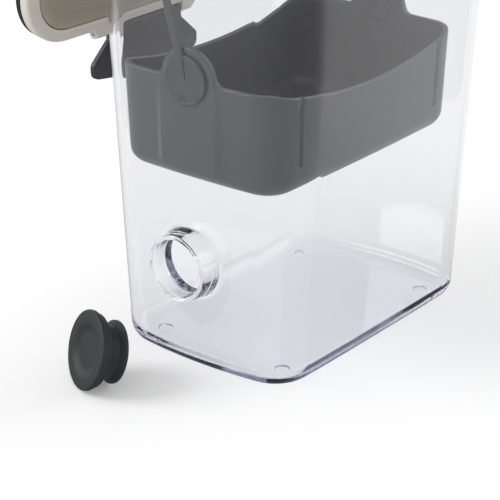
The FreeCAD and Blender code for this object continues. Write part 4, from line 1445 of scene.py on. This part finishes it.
class KEEPER_OT_lid(MakePiece, bpy.types.Operator):
    """Make the lid with its inset panel, seal, hinge knuckles and latch lugs"""

    bl_idname = "keeper.lid"
    bl_label = "Lid"

    def execute(self, context):
        scene = context.scene
        rim, lid = scene.keeper_rim, scene.keeper_lid
        places = LidPlaces(scene)
        cream = finish(context, "cream_plastic")
        piece("lid_tray", places.opened(lid_part(scene, places)), cream, "lid", ("lid_shell",))
        piece("lid_panel", places.opened(panel_part(scene, places)), finish(context, "taupe_panel"), "lid",
              ("lid_inset_panel",))
        piece("lid_gasket", places.opened(seal_part(scene, places)), finish(context, "dark_silicone"), "lid",
              ("lid_seal",))
        reach = rim.hinge_x + 20 * MM
        hole = rod(rim.pin + PIN_PLAY, -reach, reach, places.hinge_y, places.hinge_z)
        piece("lid_knuckles", places.opened(joined(*lid_knuckle_parts(rim, places))), cream, "lid",
              cutter=places.opened(hole), bevel=SMALL_BEVEL)
        hole = rod(lid.latch_pin + PIN_PLAY, -lid.lug_outer, lid.lug_outer, places.latch_y, places.latch_z)
        piece("latch_lugs", places.opened(joined(*lug_parts(lid, places))), cream, "lid",
              cutter=places.opened(hole), bevel=LUG_BEVEL)
        return {"FINISHED"}


class KEEPER_OT_latch(MakePiece, bpy.types.Operator):
    """Make the latch flap with its hook, barrel and pin"""

    bl_idname = "keeper.latch"
    bl_label = "Latch"

    def execute(self, context):
        scene = context.scene
        rim, lid = scene.keeper_rim, scene.keeper_lid
        places = LidPlaces(scene)
        dark = finish(context, "dark_plastic")
        y, z = places.latch_y, places.latch_z
        piece("latch_flap", places.freed(latch_part(lid, places)), dark, "latch",
              ("front_latch",), bevel=FLAP_BEVEL)
        barrel, hook = latch_extras(rim, lid, places)
        piece("latch_barrel", places.freed(barrel), dark, "latch")
        piece("latch_hook", places.freed(hook), dark, "latch", bevel=HOOK_BEVEL)
        pin = rod(lid.latch_pin, -lid.lug_tip, lid.lug_tip, y, z, LATCH_PIN_CHAMFER)
        piece("latch_pin_turned", places.opened(pin),
              finish(context, "pin_steel"), "lid", ("latch_pin",))
        return {"FINISHED"}


class KEEPER_OT_basket(MakePiece, bpy.types.Operator):
    """Make the basket with its ears, pads, grooves and drain slots"""

    bl_idname = "keeper.basket"
    bl_label = "Basket"

    def execute(self, context):
        basket = context.scene.keeper_basket
        piece("basket_skin", hung(basket, basket_part(basket)), finish(context, "basket_plastic"), "basket",
              ("herb_basket",), sharp=50.0, cutter=hung(basket, slot_cutters(basket)))
        return {"FINISHED"}


class KEEPER_OT_handle(MakePiece, bpy.types.Operator):
    """Make the carrying handle with its strap, hubs, grip and studs"""

    bl_idname = "keeper.handle"
    bl_label = "Handle"

    def execute(self, context):
        basket = context.scene.keeper_basket
        grey = finish(context, "handle_plastic")
        piece("handle_strap", leaning(basket, strap_part(basket)), grey, "handle",
              ("basket_handle",))
        piece("handle_hubs", leaning(basket, joined(*hub_parts(basket))), grey, "handle")
        piece("handle_grip", leaning(basket, grip_part(basket)), grey, "handle")
        for sign, node in ((-1, "handle_stud_left"), (1, "handle_stud_right")):
            piece(node + "_turned", leaning(basket, stud_part(basket, sign)), grey, "handle",
                  (node,))
        return {"FINISHED"}


class KEEPER_OT_plug(MakePiece, bpy.types.Operator):
    """Make the loose drain plug where it lies"""

    bl_idname = "keeper.plug"
    bl_label = "Drain plug"

    def execute(self, context):
        plug = context.scene.keeper_plug
        piece("plug_skin", plug_part(plug), finish(context, "dark_silicone"), "plug",
              ("drain_plug",))
        return {"FINISHED"}


def soft_lamp(name, place, aim, side, power):
    """A square area lamp that faces a point."""
    data = bpy.data.lights.new(name, "AREA")
    data.size = side
    data.energy = power
    lamp = bpy.data.objects.new(name, data)
    lamp.location = place
    look(lamp, aim)
    bpy.context.scene.collection.objects.link(lamp)


def look(obj, aim):
    """Turns an object so that its -Z axis points at a place."""
    way = Vector(aim) - obj.location
    obj.rotation_euler = way.to_track_quat("-Z", "Y").to_euler()


def seen_rays(tree):
    """1 for camera, mirror and glass rays, else 0."""
    path = tree.nodes.new("ShaderNodeLightPath")
    total = path.outputs["Is Camera Ray"]
    for name in ("Is Glossy Ray", "Is Transmission Ray"):
        total = combined(tree, "MAXIMUM", total, path.outputs[name])
    return total


class KEEPER_OT_stage(MakePiece, bpy.types.Operator):
    """Make the floor, the light and the camera"""

    bl_idname = "keeper.stage"
    bl_label = "Stage"

    def execute(self, context):
        stage = context.scene.keeper_stage
        half = stage.floor_half
        corners = [(-half, -half, 0), (half, -half, 0), (half, half, 0), (-half, half, 0)]
        mesh = bpy.data.meshes.new("floor")
        drop = 0.15 * MM
        mesh.from_pydata([(x, y, z - drop) for x, y, z in corners], [], [(0, 1, 2, 3)])
        floor = bpy.data.objects.new("floor", mesh)
        context.scene.collection.objects.link(floor)
        material, tree, shader, output = new_material("floor_paper")
        shader.inputs["Base Color"].default_value = (*stage.floor, 1)
        shader.inputs["Roughness"].default_value = 0.9
        shader.inputs["Specular IOR Level"].default_value = 0.1
        shader.inputs["Emission Color"].default_value = (1, 1, 1, 1)
        path = tree.nodes.new("ShaderNodeLightPath")
        place = tree.nodes.new("ShaderNodeTexCoord")
        away = tree.nodes.new("ShaderNodeVectorMath")
        away.operation = "LENGTH"
        lift = tree.nodes.new("ShaderNodeMapRange")
        for name, value in zip(("From Min", "From Max", "To Min", "To Max"),
                               (stage.near, stage.far, stage.glow, stage.far_glow)):
            lift.inputs[name].default_value = value
        tree.links.new(place.outputs["Object"], away.inputs[0])
        tree.links.new(away.outputs["Value"], lift.inputs["Value"])
        direct = combined(tree, "MULTIPLY", path.outputs["Is Camera Ray"], lift.outputs["Result"])
        glass = combined(tree, "MULTIPLY", seen_rays(tree), stage.glass_glow)
        glow = combined(tree, "MAXIMUM", glass, direct)
        tree.links.new(glow, shader.inputs["Emission Strength"])
        both = combined(tree, "MULTIPLY", path.outputs["Is Glossy Ray"], path.outputs["Is Reflection Ray"])
        # Mirror rays see the floor's painted reflection instead of its own shading
        surface = mixed(tree, both, shader.outputs["BSDF"], self.painted_reflection(tree))
        tree.links.new(surface, output.inputs["Surface"])
        mesh.materials.append(material)
        self.sky(context, stage.sky)
        for name, where, side, power in LAMPS:
            soft_lamp(name, where, LAMP_AIM, side, power)
        self.camera(context, stage)
        context.scene.view_settings.view_transform = "Standard"
        cycles = context.scene.cycles
        cycles.max_bounces = cycles.glossy_bounces = cycles.transmission_bounces = stage.bounces
        return {"FINISHED"}

    def painted_reflection(self, tree):
        """The floor in reflections, a painted reflection: an emission that is paler on the right and stands in for a
        white card.
        """
        across = tree.nodes.new("ShaderNodeMapRange")
        across.inputs["From Min"].default_value = -PAINTED_REFLECTION_REACH
        across.inputs["From Max"].default_value = PAINTED_REFLECTION_REACH
        tree.links.new(coordinate(tree, "Object", "X"), across.inputs["Value"])
        shown = tree.nodes.new("ShaderNodeEmission")
        tree.links.new(ramped(tree, across.outputs["Result"], PAINTED_REFLECTION_STOPS), shown.inputs["Color"])
        return shown.outputs["Emission"]

    def sky(self, context, strength):
        """Even light, and for seen rays a white that greys towards the zenith."""
        world = bpy.data.worlds.new("studio")
        context.scene.world = world
        world.use_nodes = True
        tree = world.node_tree
        light = tree.nodes["Background"]
        light.inputs["Color"].default_value = (1, 1, 1, 1)
        light.inputs["Strength"].default_value = strength
        shown = tree.nodes.new("ShaderNodeBackground")
        tree.links.new(ramped(tree, coordinate(tree, "Generated", "Z"), SKY_STOPS), shown.inputs["Color"])
        surface = mixed(tree, seen_rays(tree), light.outputs["Background"], shown.outputs["Background"])
        tree.links.new(surface, tree.nodes["World Output"].inputs["Surface"])

    def camera(self, context, stage):
        """The camera at the photograph's place."""
        data = bpy.data.cameras.new("camera")
        data.sensor_fit = "HORIZONTAL"
        data.sensor_width = 36.0
        data.lens = stage.focal
        data.clip_end = 50.0
        eye = bpy.data.objects.new("camera", data)
        eye.location = stage.eye
        look(eye, stage.aim)
        context.scene.collection.objects.link(eye)
        context.scene.camera = eye


PIECES = (
    KEEPER_OT_tub, KEEPER_OT_collar, KEEPER_OT_lid, KEEPER_OT_latch,
    KEEPER_OT_basket, KEEPER_OT_handle, KEEPER_OT_plug, KEEPER_OT_stage,
)
SETTINGS = {
    "keeper_tub": TubSizes,
    "keeper_rim": RimSizes,
    "keeper_lid": LidSizes,
    "keeper_basket": BasketSizes,
    "keeper_plug": PlugSizes,
    "keeper_colours": KeeperColours,
    "keeper_stage": StageSettings,
}


class KEEPER_PT_panel(bpy.types.Panel):
    """Lists the pieces of the herb keeper."""

    bl_idname = "KEEPER_PT_panel"
    bl_label = "Herb Keeper"
    bl_space_type = "VIEW_3D"
    bl_region_type = "UI"
    bl_category = "Herb Keeper"

    def draw(self, context):
        for operator in PIECES:
            self.layout.operator(operator.bl_idname)


def register():
    """Registers the settings, the operators and the panel."""
    for name, group in SETTINGS.items():
        bpy.utils.register_class(group)
        setattr(bpy.types.Scene, name, bpy.props.PointerProperty(type=group))
    for cls in (*PIECES, KEEPER_PT_panel):
        bpy.utils.register_class(cls)


def unregister():
    """Takes everything off again."""
    for cls in (KEEPER_PT_panel, *reversed(PIECES)):
        bpy.utils.unregister_class(cls)
    for name, group in SETTINGS.items():
        delattr(bpy.types.Scene, name)
        bpy.utils.unregister_class(group)


def main():
    register()
    for operator in PIECES:
        group, name = operator.bl_idname.split(".")
        getattr(getattr(bpy.ops, group), name)()


if __name__ == "__main__":
    main()
